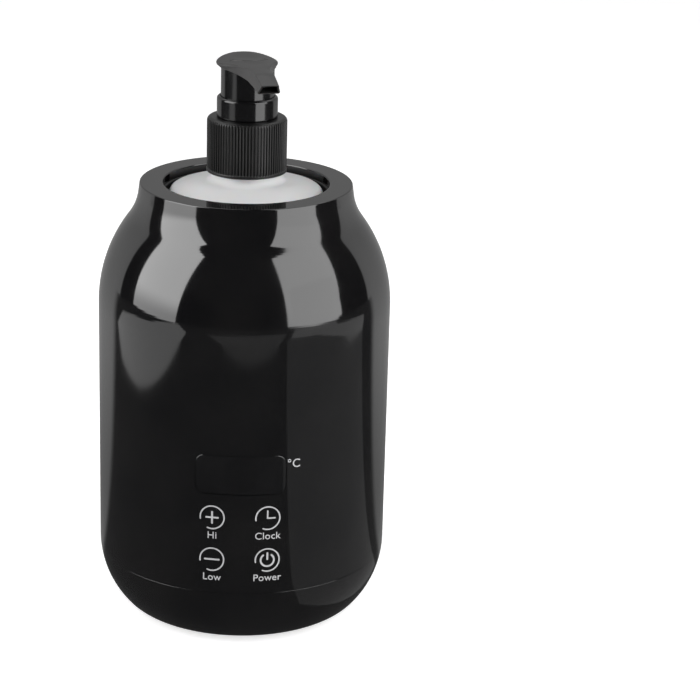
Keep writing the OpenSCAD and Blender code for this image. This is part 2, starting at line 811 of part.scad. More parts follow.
module closure_cap() {
    rib_low_z = cap_z + cap_band_h;
    corner_z = cap_top_z - cap_corner_r;
    under_z = cap_top_z - cap_top_t;
    color("#202022") difference() {
        union() {
            translate([0, 0, cap_z]) cylinder(r = cap_r, h = cap_band_h);
            intersection() {
                translate([0, 0, rib_low_z]) linear_extrude(height = cap_top_z + 1 - rib_low_z) rib_plan();
                rotate_extrude() {
                    slab(cap_r, cap_z, corner_z);
                    slab(cap_r - cap_corner_r, cap_z, cap_top_z);
                    disc_slice(cap_corner_r, cap_r - cap_corner_r, corner_z, corner_z - cap_corner_r / 2,
                        cap_top_z);
                }
            }
        }
        translate([0, 0, cap_z - cut]) cylinder(r = cap_bore_r, h = under_z - cap_z + cut);
        translate([0, 0, cap_z]) cylinder(r = cap_open_r, h = cap_h + cut);
    }
}

module pump_collar() {
    color("#1c1c1e") rotate_extrude() difference() {
        union() {
            slab(spigot_r, stop_z + stop_t, collar_z + collar_edge_r);
            slab(collar_r, collar_z, collar_top_z - collar_edge_r);
            slab(collar_r - collar_edge_r, collar_z, collar_top_z);
            disc_slice(collar_edge_r, collar_r - collar_edge_r, collar_top_z - collar_edge_r, collar_z,
                collar_top_z);
        }
        slab(collar_bore_r, stop_z, collar_top_z + cut);
    }
}

module pump_housing() {
    shell_r = barrel_r + barrel_wall;
    tail_low_z = dip_top_z - tail_l + 2;
    color("#e3e3e1") rotate_extrude() difference() {
        union() {
            slab(cup_out_r, barrel_top_z, flange_z + flange_h);
            slab(bottle_neck_r, flange_z, flange_z + flange_h);
            slab(shell_r, barrel_low_z - 2, barrel_top_z + cup_floor_t / 2);
            polygon([
                [0, dip_top_z], [tail_r, dip_top_z], [shell_r, barrel_low_z - 2], [0, barrel_low_z - 2]
            ]);
            slab(tail_r, tail_low_z, dip_top_z);
        }
        slab(cup_r, stop_z, flange_z + flange_h + cut);
        slab(barrel_r, barrel_low_z, stop_z);
        slab(ball_room_r, ball_seat_z, barrel_low_z);
        slab(ball_seat_r, dip_top_z, ball_seat_z);
        slab(dip_tube_r + 0.02, tail_low_z - cut, dip_top_z);
    }
}

module piston_stop() {
    color("#d6d6d2") tube(cup_r - fit_gap, stem_r + 0.2, stop_z, stop_z + stop_t);
}

module dip_tube() {
    color("#f2f2ee") tube(dip_tube_r, dip_bore_r, dip_low_z, dip_top_z);
}

module inlet_ball() {
    rest = sqrt(inlet_ball_r * inlet_ball_r - ball_seat_r * ball_seat_r) + 0.02;
    color("#c4c7ca") translate([0, 0, ball_seat_z + rest]) sphere(r = inlet_ball_r);
}

// A helix of round wire, as one closed tube
module return_spring() {
    rings_per_turn = 8;
    sides = 6;
    rings = spring_turns * rings_per_turn;
    low_z = barrel_low_z + spring_wire_r + 0.02;
    rise = piston_low_z - barrel_low_z - 2 * spring_wire_r - 0.04;
    points = [
        for (i = [0:rings])
            for (k = [0:sides - 1])
                let (turn = i * 360 / rings_per_turn, side = k * 360 / sides)
                    let (r = spring_r + spring_wire_r * cos(side))
                        [r * cos(turn), r * sin(turn), low_z + rise * i / rings + spring_wire_r * sin(side)]
    ];
    walls = [
        for (i = [0:rings - 1])
            for (k = [0:sides - 1])
                let (a = i * sides + k, b = i * sides + (k + 1) % sides)
                    for (face = [[a, b, a + sides], [b, b + sides, a + sides]]) face
    ];
    caps = [
        for (k = [1:sides - 2])
            for (face = [[0, k + 1, k], [rings * sides, rings * sides + k, rings * sides + k + 1]]) face
    ];
    color("#aeb3b8") polyhedron(points = points, faces = [for (f = concat(walls, caps)) [f[2], f[1], f[0]]]);
}

module piston_seal() {
    lip_h = 1.2;
    color("#f0efe8") rotate_extrude() difference() {
        slab(piston_r, piston_low_z, piston_top_z);
        slab(stem_r + 0.02, piston_low_z - cut, piston_top_z + cut);
        band(piston_r - 0.5, piston_r + cut, piston_low_z + lip_h, piston_top_z - lip_h);
    }
}

module pump_stem() {
    color("#e9e9e6") rotate_extrude() difference() {
        slab(stem_r, piston_low_z, stem_top_z);
        slab(stem_bore_r, stem_seat_z, stem_top_z + cut);
        slab(outlet_ball_r * 2 / 3, piston_low_z - cut, stem_seat_z);
    }
}

module outlet_ball() {
    rest = outlet_ball_r * sqrt(5) / 3 + 0.02;
    color("#c4c7ca") translate([0, 0, stem_seat_z + rest]) sphere(r = outlet_ball_r);
}

// Plan of the spout: it narrows in a curve from the thumb plate to its tip
module spout_plan() {
    root_s = 3.5;
    root_w = sqrt(pow(plate_r, 2) - pow(root_s + plate_back, 2)) - 0.2;
    side = bezier([root_w, root_s], [spout_tip_w, spout_reach * 0.42], [spout_tip_w, spout_reach + cut], 10);
    polygon(concat(
        [for (p = side) [p[0], -p[1]]],
        [for (i = [len(side) - 1:-1:0]) [-side[i][0], -side[i][1]]]
    ));
}

// Side view of the spout, with y running forwards as a negative length
module spout_side() {
    crest_z = plate_top_z + spout_rise;
    crest_s = spout_reach - spout_fall_l;
    slope = (crest_z - spout_tip_z) / spout_fall_l;
    back = bezier([spout_root, plate_top_z - dish_depth], [crest_s / 2, crest_z],
        [crest_s - spout_brow, crest_z], 8);
    brow = bezier([crest_s - spout_brow / 2, crest_z], [crest_s, crest_z],
        [crest_s + spout_brow, crest_z - spout_brow * slope], 4);
    under = bezier([spout_reach - spout_cut_back, spout_lip_z], [spout_reach * 0.52, plate_z + fit_gap],
        [spout_root, flare_z + fit_gap], 8);
    polygon([for (p = concat(back, brow, [[spout_reach, spout_tip_z]], under)) [-p[0], p[1]]]);
}

// A rod between two points of the spout's middle plane, each given as reach and height
module spout_rod(p, q, r) {
    slope = atan2(q[1] - p[1], q[0] - p[0]);
    translate([0, -p[0], p[1]]) rotate([90 - slope, 0, 0]) cylinder(r = r, h = norm(q - p));
}

// The passage from the stem up and out through the spout
module spout_channel() {
    route = channel_route;
    translate([0, 0, stem_top_z - cut]) cylinder(r = channel_r, h = route[0][1] - stem_top_z + cut);
    for (i = [0:len(route) - 2]) {
        spout_rod(route[i], route[i + 1], channel_r);
        translate([0, -route[i][0], route[i][1]]) sphere(r = channel_r + 0.08);
    }
}

module thumb_plate() {
    edge_z = plate_z + plate_low_edge;
    edge = plate_top_z - edge_z;
    difference() {
        translate([0, plate_back, 0]) rotate_extrude() {
            slab(plate_r - edge, plate_z, plate_top_z);
            slab(plate_r - plate_low_edge, plate_z, edge_z);
            disc_slice(edge, plate_r - edge, edge_z, edge_z, plate_top_z);
            disc_slice(plate_low_edge, plate_r - plate_low_edge, edge_z, plate_z, edge_z);
        }
        translate([0, plate_back, plate_top_z - dish_depth + dish_r]) sphere(r = dish_r);
    }
}

// The cone that widens the skirt out to the thumb plate
module skirt_flare() {
    translate([0, plate_back * 0.7, flare_z])
        cylinder(r1 = skirt_r - skirt_t / 2, r2 = plate_r - flare_inset, h = flare_h + flare_rise);
}

// The space under the crown of the head's top, along the spout
module crown() {
    translate([0, 0, plate_top_z + spout_rise - crown_r]) rotate([90, 0, 0])
        cylinder(r = crown_r, h = 4 * spout_reach, center = true);
}

module pump_head() {
    color("#2b2b2d") rotate([0, 0, head_turn]) difference() {
        union() {
            intersection() {
                thumb_plate();
                crown();
            }
            skirt_flare();
            intersection() {
                translate([0, 0, plate_z - 10]) linear_extrude(height = 20) spout_plan();
                rotate([90, 0, 90]) linear_extrude(height = 4 * plate_r, center = true) spout_side();
                crown();
            }
            intersection() {
                spout_rod(channel_route[0], channel_route[1], channel_r + 0.7);
                translate([0, 0, plate_z - 10]) cylinder(r = skirt_r - skirt_t / 2, h = 10 + plate_t / 2);
            }
            tube(skirt_r, skirt_r - skirt_t, skirt_z, plate_z + plate_t / 2);
            tube(socket_boss_r, stem_r + 0.03, skirt_z, stem_top_z);
            translate([0, 0, stem_top_z]) cylinder(r = socket_boss_r, h = plate_z - stem_top_z + plate_t / 2);
        }
        spout_channel();
    }
}

outer_shell();
base_cover();
rubber_feet();
base_screws();
heating_well();
well_support();
bottle_pad();
heater_band();
insulation_sleeve();
temperature_sensor();
thermal_fuse();
control_board();
board_screws();
display_module();
display_window();
touch_pads();
buzzer();
power_inlet();
power_leads();
heater_leads();
bottle();
neck_gasket();
closure_cap();
pump_collar();
pump_housing();
piston_stop();
dip_tube();
inlet_ball();
return_spring();
piston_seal();
pump_stem();
outlet_ball();
pump_head();
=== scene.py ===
# Massage oil warmer: a gloss black body with a touch panel, and a pump bottle standing in its well.
# The frame is in metres. Sizes in this file are millimetres, and MM turns them into metres.
import math

import bmesh
import bpy
from mathutils import Matrix, Vector


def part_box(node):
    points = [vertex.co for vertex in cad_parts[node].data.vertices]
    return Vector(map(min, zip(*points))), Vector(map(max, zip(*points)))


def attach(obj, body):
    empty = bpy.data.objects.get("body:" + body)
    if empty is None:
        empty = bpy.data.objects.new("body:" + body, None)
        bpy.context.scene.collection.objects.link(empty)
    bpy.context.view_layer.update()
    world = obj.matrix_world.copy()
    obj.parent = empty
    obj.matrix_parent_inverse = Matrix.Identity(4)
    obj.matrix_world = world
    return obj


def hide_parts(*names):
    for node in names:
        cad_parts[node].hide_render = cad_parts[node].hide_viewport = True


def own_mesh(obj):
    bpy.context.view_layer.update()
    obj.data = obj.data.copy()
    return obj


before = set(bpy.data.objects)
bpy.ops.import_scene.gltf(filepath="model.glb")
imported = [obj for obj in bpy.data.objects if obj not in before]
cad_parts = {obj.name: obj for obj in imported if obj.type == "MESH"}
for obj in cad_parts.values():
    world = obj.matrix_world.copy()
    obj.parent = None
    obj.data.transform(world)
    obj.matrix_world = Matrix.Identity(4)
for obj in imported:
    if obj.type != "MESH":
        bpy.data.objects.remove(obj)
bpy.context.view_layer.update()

MM = 0.001


def node_box(node):
    """Lowest and highest corner of a CAD node, in millimetres."""
    low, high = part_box(node)
    return Vector(low) / MM, Vector(high) / MM


# Sizes read from the frame
SHELL_HIGH = node_box("outer_shell")[1]
COVER_LOW, COVER_HIGH = node_box("base_cover")
BOTTLE_LOW, BOTTLE_HIGH = node_box("bottle")
CAP_LOW, CAP_HIGH = node_box("closure_cap")
COLLAR_LOW, COLLAR_HIGH = node_box("pump_collar")
WELL_LOW, WELL_HIGH = node_box("heating_well")
LENS_LOW, LENS_HIGH = node_box("display_window")
INLET_LOW, INLET_HIGH = node_box("power_inlet")
HEAD_LOW, HEAD_HIGH = node_box("pump_head")
SCREW_HIGH = node_box("base_screws")[1]
FOOT_HIGH = node_box("rubber_feet")[1]

# Body
BODY_R = SHELL_HIGH.x
RIM_Z = SHELL_HIGH.z
BASE_Z = COVER_LOW.z
WALL = 2.4
LIP_H = 2.0
LIP_T = 1.4
SEAM_Z = COVER_HIGH.z - LIP_H
SEAM_GROOVE = 0.14
SEAM_EDGE = 0.1
CORNER_SIDE_R = 31.2
CORNER_BASE_R = 9.5
CORNER_TURN = 40.5
SHOULDER_STEP = 13.67
SHOULDER_TURN = 35.6
CONVEX_R = 49.0
CONCAVE_R = 18.95
NECK_STRAIGHT = 1.07
NECK_DRAFT = 8.0
RIM_EDGE = 0.4
RIM_LIP_H = 3.0
RIM_LIP_T = 2.0
RIM_OPEN_R = 28.15
RIM_INNER_EDGE = 0.45
SHELL_FIT = 0.1
CUT_PAST = 2.0
SOCKET_R = 5.0
SOCKET_DEPTH = 5.0
NECK_R = BODY_R - SHOULDER_STEP
NECK_Z = RIM_Z - NECK_STRAIGHT
SHOULDER_SIN = math.sin(math.radians(SHOULDER_TURN))
SHOULDER_COS = math.cos(math.radians(SHOULDER_TURN))
SHOULDER_CONE = (SHOULDER_STEP - (CONVEX_R + CONCAVE_R) * (1 - SHOULDER_COS)) / SHOULDER_SIN
SHOULDER_Z = NECK_Z - (CONVEX_R + CONCAVE_R) * SHOULDER_SIN - SHOULDER_CONE * SHOULDER_COS
CORNER_STEP_R = CORNER_SIDE_R - CORNER_BASE_R
CORNER_Z = BASE_Z + CORNER_BASE_R + CORNER_STEP_R * math.sin(math.radians(CORNER_TURN))
BASE_FLAT_R = BODY_R - CORNER_SIDE_R + CORNER_STEP_R * math.cos(math.radians(CORNER_TURN))

# Underside
FOOT_R = 6.0
FOOT_RECESS = 1.0
FOOT_CIRCLE_R = FOOT_HIGH.x - FOOT_R
SCREW_HEAD_R = 3.0
SCREW_ROOM = 0.3
SCREW_SEAT = 2.0
SCREW_CIRCLE_R = SCREW_HIGH.x * math.sqrt(2) - SCREW_HEAD_R * (math.sqrt(2) - 1) - SCREW_HEAD_R
SCREW_SEAT_Z = BASE_Z + WALL + SCREW_SEAT

# Panel
WINDOW_GAP = 0.1
WINDOW_W = LENS_HIGH.x + WINDOW_GAP
WINDOW_Z = LENS_LOW.z - WINDOW_GAP
WINDOW_H = LENS_HIGH.z - LENS_LOW.z + 2 * WINDOW_GAP
WINDOW_CORNER = 3.0
WINDOW_T = 1.2
WINDOW_EDGE = 0.3
PRINT_T = 0.03
ICON_COLUMNS = (-9.34, 9.34)
ICON_ROWS = (50.1, 34.95)
ICON_R = 4.05
ICON_STROKE = 0.47
ICON_GAP = (190, 247)
SYMBOL_BAR = 0.62
SYMBOL_HAND = 0.5
LEGEND_DROP = 7.55
LEGEND_SIZE = 3.5
UNIT_SIZE = 4.2
UNIT_ARC = 17.95
UNIT_Z = 67.55
LETTER_WEIGHT = 0.02
LETTER_SPACE = 1.05
PRINT_STEP = 0.4

# Well and bottle
WELL_R = 27.5
WELL_WALL = 0.8
WELL_FLOOR_Z = WELL_LOW.z + WELL_WALL
WELL_CORNER = 2.0
WELL_EDGE = 0.3
BOTTLE_R = BOTTLE_HIGH.x
BOTTLE_Z = BOTTLE_LOW.z
BOTTLE_WALL = 1.1
BOTTLE_CORNER_R = 2.4
BOTTLE_EDGE_R = 2.2
BOTTLE_DOME_R = 120.0
BOTTLE_EDGE_TURN = 74.0
BOTTLE_NECK_BARE = 2.5
BOTTLE_FILLET_R = 3.2
BOTTLE_NECK_R = 11.3
BOTTLE_BORE_R = 10.4
BOTTLE_PUSH_UP = 1.2
BOTTLE_PUSH_INSET = 7.0
BOTTLE_PUSH_SLOPE = 2.0
BOTTLE_MOUTH_EDGE = 0.4
BOTTLE_CAP_GAP = 0.3
THREAD_PITCH = 3.175
THREAD_H = 0.55
THREAD_TURNS = 2.2
THREAD_UP = 4.2
THREAD_HALF = 0.75
THREAD_CREST = 0.4
THREAD_SINK = 0.05
THREAD_END = 0.3
THREAD_FADE = 6

# Pump
CAP_R = CAP_HIGH.x
CAP_Z = CAP_LOW.z
CAP_TOP_Z = CAP_HIGH.z
CAP_BORE_R = 12.2
CAP_OPEN_R = 10.0
CAP_TOP_T = 1.6
CAP_RIBS = 80
CAP_RIB_DEPTH = 0.42
CAP_RIB_HALF = 0.3
CAP_RIB_INSET = 0.1
CAP_RIB_RUN = 0.35
CAP_RIB_STEPS = (0.15, 0.4)
CAP_GROOVE_IN = 0.4
CAP_EDGE = 0.3
CAP_BAND_EDGE = 0.15
CAP_BAND_H = 1.0
CAP_CORNER_R = 1.5
COLLAR_R = COLLAR_HIGH.x
COLLAR_GAP = 0.2
COLLAR_Z = CAP_TOP_Z + COLLAR_GAP
COLLAR_TOP_Z = COLLAR_HIGH.z
COLLAR_EDGE_R = 0.9
COLLAR_LOW_EDGE = 0.15
COLLAR_BORE_R = 9.2
SPIGOT_R = 9.7
SKIRT_R = 8.95
SKIRT_T = 1.0
SKIRT_Z = HEAD_LOW.z
SKIRT_EDGE = 0.25
SKIRT_OVERLAP = 0.4
SKIRT_PROUD = 0.03
HEAD_TURN = 13.0
HEAD_TOP_Z = HEAD_HIGH.z
CROWN_R = 31.0
FLARE_Z = 191.6
PLATE_SINK = 0.05
PLATE_TOP_Z = HEAD_TOP_Z - PLATE_SINK
PLATE_LEAVE_S = 3.0
PLATE_EDGE_Z = 193.1
PLATE_LOW_EDGE_R = 0.8
PLATE_R = 10.3
PLATE_BACK = 1.4
DISH_DEPTH = 0.6
DISH_R = 7.7
SPOUT_REACH = 34.6
SPOUT_TOP_W = 2.95
SPOUT_DRAFT = 0.75
SPOUT_EDGE_R = 0.45
SPOUT_TIP_Z = 193.05
SPOUT_LIP_Z = 189.7
SPOUT_CUT = 2.9
SPOUT_CREST_S = 26.5
SPOUT_CREST_UP = 0.12
SPOUT_CREST_Z = HEAD_TOP_Z + SPOUT_CREST_UP
SPOUT_CREASE = 0.7
SPOUT_START_S = 6.0
SPOUT_START_DROP = 0.3
SPOUT_SLIM_S = 21.0
SPOUT_SLIM_EXTRA = 0.35
SPOUT_SLIM_W = SPOUT_TOP_W + SPOUT_SLIM_EXTRA
SPOUT_UNDER_S = 4.0
SPOUT_UNDER_UP = 0.35
SPOUT_BORE = 4.5
SPOUT_BORE_RISE = 0.15
CROWN_CREASE = 0.2
SPOUT_WALL = 0.6
SPOUT_BULGE = 0.45
SPOUT_BULGE_LESS = 0.2
SPOUT_LEAN_MOST = 1.2
SPOUT_LOW_CORNER = 0.1
SPOUT_LOW_CORNER_MORE = 0.55
UNDER_STRAIGHT = 0.45
PLATE_EDGE_LEAST = 0.3
PLATE_LOW_EDGE_LEAST = 0.06
GLOSS_UP = 0.3
GLOSS_OUT = 0.02
RELIEF_H = 0.08
RELIEF_SINK = -0.1
RELIEF_R = 6.6
RELIEF_HALF = 0.22
RELIEF_SPREAD = 62
RELIEF_HEAD_TURN = 14
RELIEF_HEAD_HALF = (0.8, 0.65)

# Stretches of the head's reach over which one form runs into the next
BLEND_S = (3.0, 12.0)
BULGE_S = (10.0, 20.0)
BULGE_LESS_S = (26.0, SPOUT_REACH)
ROOT_S = (-2.0, 6.0)
LEAN_S = (20.0, SPOUT_REACH)
EDGE_S = (3.0, 13.0)
LEAVE_S = (-2.0, 9.0)
DRAFT_S = (6.0, 18.0)
LOW_CORNER_S = (20.0, 32.0)

# Return spring
SPRING_LOW, SPRING_HIGH = node_box("return_spring")
SPRING_WIRE_R = 0.4
SPRING_R = 4.0
SPRING_TURNS = 9

SEGMENTS = 320
CLOUD_SCALE = 55.0
GRAIN_STRENGTH = 0.35
MATERIALS = {}


# Shader helpers

def feed(tree, target, inputs):
    """Gives a node's inputs their values, or the sockets that feed them."""
    for name, value in inputs.items():
        if isinstance(value, bpy.types.NodeSocket):
            tree.links.new(value, target.inputs[name])
        else:
            target.inputs[name].default_value = value


def add_node(tree, kind, inputs, **settings):
    """A new shader node with its settings and inputs."""
    made = tree.nodes.new(kind)
    for name, value in settings.items():
        setattr(made, name, value)
    feed(tree, made, inputs)
    return made


def new_material(name):
    """A new material's node tree and shader."""
    material = bpy.data.materials.new(name)
    material.use_nodes = True
    MATERIALS[name] = material
    return material.node_tree, material.node_tree.nodes["Principled BSDF"]


def object_place(tree):
    """The shaded point in object space."""
    return add_node(tree, "ShaderNodeTexCoord", {}).outputs["Object"]


def place_along(tree, axis):
    """The shaded point's place along an axis of its object."""
    return add_node(tree, "ShaderNodeSeparateXYZ", {"Vector": object_place(tree)}).outputs[axis]


def distance(tree, axes=(1, 1, 1)):
    """The shaded point's distance from the origin, along the axes that are given as 1."""
    flat = add_node(tree, "ShaderNodeVectorMath", {0: object_place(tree), 1: axes}, operation="MULTIPLY")
    size = add_node(tree, "ShaderNodeVectorMath", {0: flat.outputs["Vector"]}, operation="LENGTH")
    return size.outputs["Value"]


def noise(tree, scale, detail=4.0, stretch=None):
    """A noise's values in object space, with an optional stretch of its axes."""
    place = object_place(tree)
    if stretch:
        place = add_node(tree, "ShaderNodeMapping", {"Vector": place, "Scale": stretch}).outputs["Vector"]
    inputs = {"Vector": place, "Scale": scale, "Detail": detail}
    return add_node(tree, "ShaderNodeTexNoise", inputs).outputs["Fac"]


def ramp(tree, source, low, high):
    """A colour that runs from low to high over the middle of the source's values."""
    made = add_node(tree, "ShaderNodeValToRGB", {"Fac": source})
    for element, position, colour in zip(made.color_ramp.elements, (0.35, 0.65), (low, high)):
        element.position = position
        element.color = (*colour, 1)
    return made.outputs["Color"]


def between(tree, source, start, end, low, high, kind="SMOOTHSTEP"):
    """Runs from low to high while the source runs from start to end."""
    inputs = {"Value": source, "From Min": start, "From Max": end, "To Min": low, "To Max": high}
    return add_node(tree, "ShaderNodeMapRange", inputs, interpolation_type=kind).outputs["Result"]


def reckon(tree, operation, *terms):
    """A math node on numbers or sockets."""
    return add_node(tree, "ShaderNodeMath", dict(enumerate(terms)), operation=operation).outputs["Value"]


def surface_finish(tree, shader, cloud, rough, grain, strength, height, specular=0.5):
    """Uneven gloss, a fine grain and the level of the reflections."""
    relief = {"Height": noise(tree, grain, 2.0), "Strength": strength, "Distance": height}
    feed(tree, shader, {
        "Roughness": between(tree, cloud, 0.3, 0.7, *rough, "LINEAR"),
        "Normal": add_node(tree, "ShaderNodeBump", relief).outputs["Normal"],
        "Specular IOR Level": specular,
    })


def moulded(name, low, high, rough, grain=900.0, grain_height=0.00001, specular=0.5, metallic=0.0):
    """A moulded or cast surface: cloudy colour, uneven gloss and a fine grain."""
    tree, shader = new_material(name)
    cloud = noise(tree, CLOUD_SCALE)
    feed(tree, shader, {"Base Color": ramp(tree, cloud, low, high), "Metallic": metallic})
    surface_finish(tree, shader, cloud, rough, grain, GRAIN_STRENGTH, grain_height, specular)
    return tree, shader


def satin_with_painted_groove_shade():
    """Satin black of the ribbed cap, with painted shade: the colour is darker down in the grooves."""
    tree, shader = new_material("cap_satin")
    groove = (CAP_R - CAP_GROOVE_IN) * MM
    crest = (CAP_R - CAP_RIB_INSET) * MM
    # Painted shade: the base colour runs from darker at the grooves' floor to lighter at the crests, by
    # distance from the axis.
    level = between(tree, distance(tree, (1, 1, 0)), groove, crest, 0.003, 0.009, "LINEAR")
    feed(tree, shader, {"Base Color": level})
    cloud = noise(tree, CLOUD_SCALE)
    surface_finish(tree, shader, cloud, (0.3, 0.38), 1300.0, GRAIN_STRENGTH, 0.00001, 0.36)


def gloss_black():
    """Polished black plastic with faint haze and a few specks of dust."""
    tree, shader = new_material("gloss_black")
    cloud = noise(tree, 38.0, 6.0)
    specks = add_node(tree, "ShaderNodeTexVoronoi", {"Vector": object_place(tree), "Scale": 62.0})
    pick = add_node(tree, "ShaderNodeSeparateColor", {"Color": specks.outputs["Color"]})
    dot = reckon(tree, "LESS_THAN", specks.outputs["Distance"], 0.011)
    rare = reckon(tree, "GREATER_THAN", pick.outputs["Red"], 0.93)
    dusty = add_node(tree, "ShaderNodeMix", {
        "Factor": reckon(tree, "MULTIPLY", dot, rare),
        "A": ramp(tree, cloud, (0.0042, 0.0042, 0.0046), (0.0068, 0.0066, 0.0068)),
        "B": (0.09, 0.09, 0.09, 1),
    }, data_type="RGBA")
    feed(tree, shader, {"Base Color": dusty.outputs["Result"]})
    surface_finish(tree, shader, cloud, (0.05, 0.09), 420.0, 0.05, 0.00001, 0.72)


def bottle_white():
    """Milky polyethylene: soft sheen, faint flow marks along its height."""
    tree, shader = new_material("bottle_white")
    flow = noise(tree, 30.0, 3.0, (1.0, 1.0, 0.15))
    base = ramp(tree, flow, (0.71, 0.708, 0.712), (0.74, 0.738, 0.742))
    feed(tree, shader, {"Base Color": base, "Subsurface Weight": 0.15, "Subsurface Scale": 0.002})
    surface_finish(tree, shader, flow, (0.4, 0.48), 700.0, 0.15, 0.00002)


def make_materials():
    gloss_black()
    bottle_white()
    moulded("lens_black", (0.0042, 0.0042, 0.0046), (0.006, 0.006, 0.0064), (0.05, 0.09), 500.0, 0.000002,
            0.72)
    moulded("print_grey", (0.44, 0.44, 0.45), (0.52, 0.52, 0.53), (0.45, 0.6))
    moulded("pump_gloss", (0.004, 0.004, 0.0045), (0.006, 0.0058, 0.006), (0.1, 0.14), 800.0, 0.000003, 0.5)
    moulded("pump_satin", (0.016, 0.0155, 0.0155), (0.024, 0.023, 0.023), (0.34, 0.44), 1400.0, 0.00002)
    satin_with_painted_groove_shade()
    moulded("rubber", (0.02, 0.02, 0.02), (0.035, 0.035, 0.034), (0.75, 0.9), 1500.0, 0.00003)
    moulded("steel", (0.42, 0.43, 0.44), (0.52, 0.53, 0.54), (0.25, 0.4), 1200.0, 0.000005, 0.5, 1.0)
    moulded("well_coat", (0.022, 0.022, 0.023), (0.035, 0.035, 0.036), (0.3, 0.42), 900.0, 0.00002, 0.5)
    moulded("inner_plastic", (0.04, 0.04, 0.042), (0.06, 0.06, 0.062), (0.5, 0.6))
    moulded("silicone", (0.2, 0.2, 0.21), (0.27, 0.27, 0.28), (0.6, 0.75))
    moulded("heater", (0.38, 0.13, 0.03), (0.5, 0.19, 0.05), (0.3, 0.45))
    moulded("insulation", (0.55, 0.53, 0.47), (0.7, 0.68, 0.62), (0.9, 1.0), 500.0, 0.0004)
    moulded("board", (0.008, 0.07, 0.03), (0.014, 0.11, 0.045), (0.3, 0.4), 600.0)
    moulded("sensor", (0.03, 0.14, 0.05), (0.05, 0.18, 0.07), (0.35, 0.5))
    moulded("fuse", (0.5, 0.5, 0.46), (0.62, 0.62, 0.58), (0.4, 0.5))
    moulded("display", (0.012, 0.012, 0.014), (0.02, 0.02, 0.022), (0.2, 0.3))
    moulded("foam", (0.05, 0.05, 0.052), (0.09, 0.09, 0.09), (0.9, 1.0), 700.0, 0.0003)
    moulded("red_lead", (0.30, 0.012, 0.012), (0.4, 0.02, 0.018), (0.4, 0.5))
    moulded("pale_lead", (0.55, 0.47, 0.35), (0.65, 0.57, 0.45), (0.5, 0.6))
    moulded("pump_clear", (0.72, 0.72, 0.70), (0.8, 0.8, 0.78), (0.3, 0.4))


# Mesh helpers

def arc(x, z, r, start, end, steps):
    """Points on a circle about (x, z), from one angle to another in degrees."""
    turns = [math.radians(start + (end - start) * i / steps) for i in range(steps + 1)]
    return [(x + r * math.cos(t), z + r * math.sin(t)) for t in turns]


def supported(profile, closed=True, reach=0.12):
    """Adds a point close to each end of a long straight stretch, so that flat faces shade flat."""
    points = []
    count = len(profile)
    for i in range(count if closed else count - 1):
        a = Vector(profile[i])
        b = Vector(profile[(i + 1) % count])
        points.append(tuple(a))
        if (b - a).length > 6 * reach:
            step = (b - a).normalized() * reach
            points.append(tuple(a + step))
            points.append(tuple(b - step))
    if not closed:
        points.append(profile[-1])
    return points


def around(r, turn, z):
    """The point at a radius, an angle from the front and a height."""
    return (r * math.sin(turn), -r * math.cos(turn), z)


def on_curve(x, z, radius):
    """The point straight in front of (x, z) on a cylinder."""
    return (x, -math.sqrt(radius ** 2 - x ** 2), z)


def revolve(profile, segments=SEGMENTS, closed=True, shape=None):
    """A section turned about the axis. shape changes a radius by its height and angle."""
    verts = []
    rings = []
    for r, z in profile:
        first = len(verts)
        if r < 1e-6:
            verts.append((0, 0, z))
            rings.append([first] * segments)
            continue
        for i in range(segments):
            turn = 2 * math.pi * i / segments
            radius = shape(r, z, turn) if shape else r
            verts.append(around(radius, turn, z))
        rings.append(list(range(first, first + segments)))
    pairs = list(zip(rings, rings[1:]))
    if closed:
        pairs.append((rings[-1], rings[0]))
    faces = []
    for a, b in pairs:
        for i in range(segments):
            j = (i + 1) % segments
            corners = list(dict.fromkeys((a[i], a[j], b[j], b[i])))
            if len(corners) > 2:
                faces.append(corners)
    return verts, faces


def joined(*parts):
    """One list of vertices and faces from several."""
    verts = []
    faces = []
    for part_verts, part_faces in parts:
        first = len(verts)
        verts.extend(part_verts)
        faces.extend([first + i for i in face] for face in part_faces)
    return verts, faces


def strip(a, b):
    """Faces between two rows of vertices."""
    return [[a[k], a[k + 1], b[k + 1], b[k]] for k in range(len(a) - 1)]


def swept(rings):
    """A closed solid through rings of points, with flat ends."""
    size = len(rings[0])
    verts = [point for ring in rings for point in ring]
    faces = []
    for first in range(0, len(verts) - size, size):
        for k in range(size):
            a = first + k
            b = first + (k + 1) % size
            faces.append([a, b, b + size, a + size])
    faces.append(list(range(size)))
    faces.append(list(range(len(verts) - size, len(verts))))
    return verts, faces


def mesh_from(name, parts):
    """A clean mesh in metres from vertices and faces in millimetres."""
    verts, faces = parts
    mesh = bpy.data.meshes.new(name)
    mesh.from_pydata([Vector(v) * MM for v in verts], [], faces)
    work = bmesh.new()
    work.from_mesh(mesh)
    bmesh.ops.remove_doubles(work, verts=work.verts, dist=1e-7)
    bmesh.ops.dissolve_degenerate(work, edges=work.edges, dist=1e-8)
    bmesh.ops.recalc_face_normals(work, faces=work.faces)
    work.to_mesh(mesh)
    work.free()
    return mesh


def shade(mesh, angle=32):
    mesh.shade_smooth()
    mesh.set_sharp_from_angle(angle=math.radians(angle))


def linked(name, data):
    """A new object in the scene."""
    piece = bpy.data.objects.new(name, data)
    bpy.context.scene.collection.objects.link(piece)
    return piece


def add(name, parts, material, body, replaces=()):
    """A piece of the object that rides on a body."""
    mesh = mesh_from(name, parts)
    shade(mesh)
    mesh.materials.append(MATERIALS[material])
    piece = linked(name, mesh)
    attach(piece, body)
    if replaces:
        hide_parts(*replaces)
    return piece


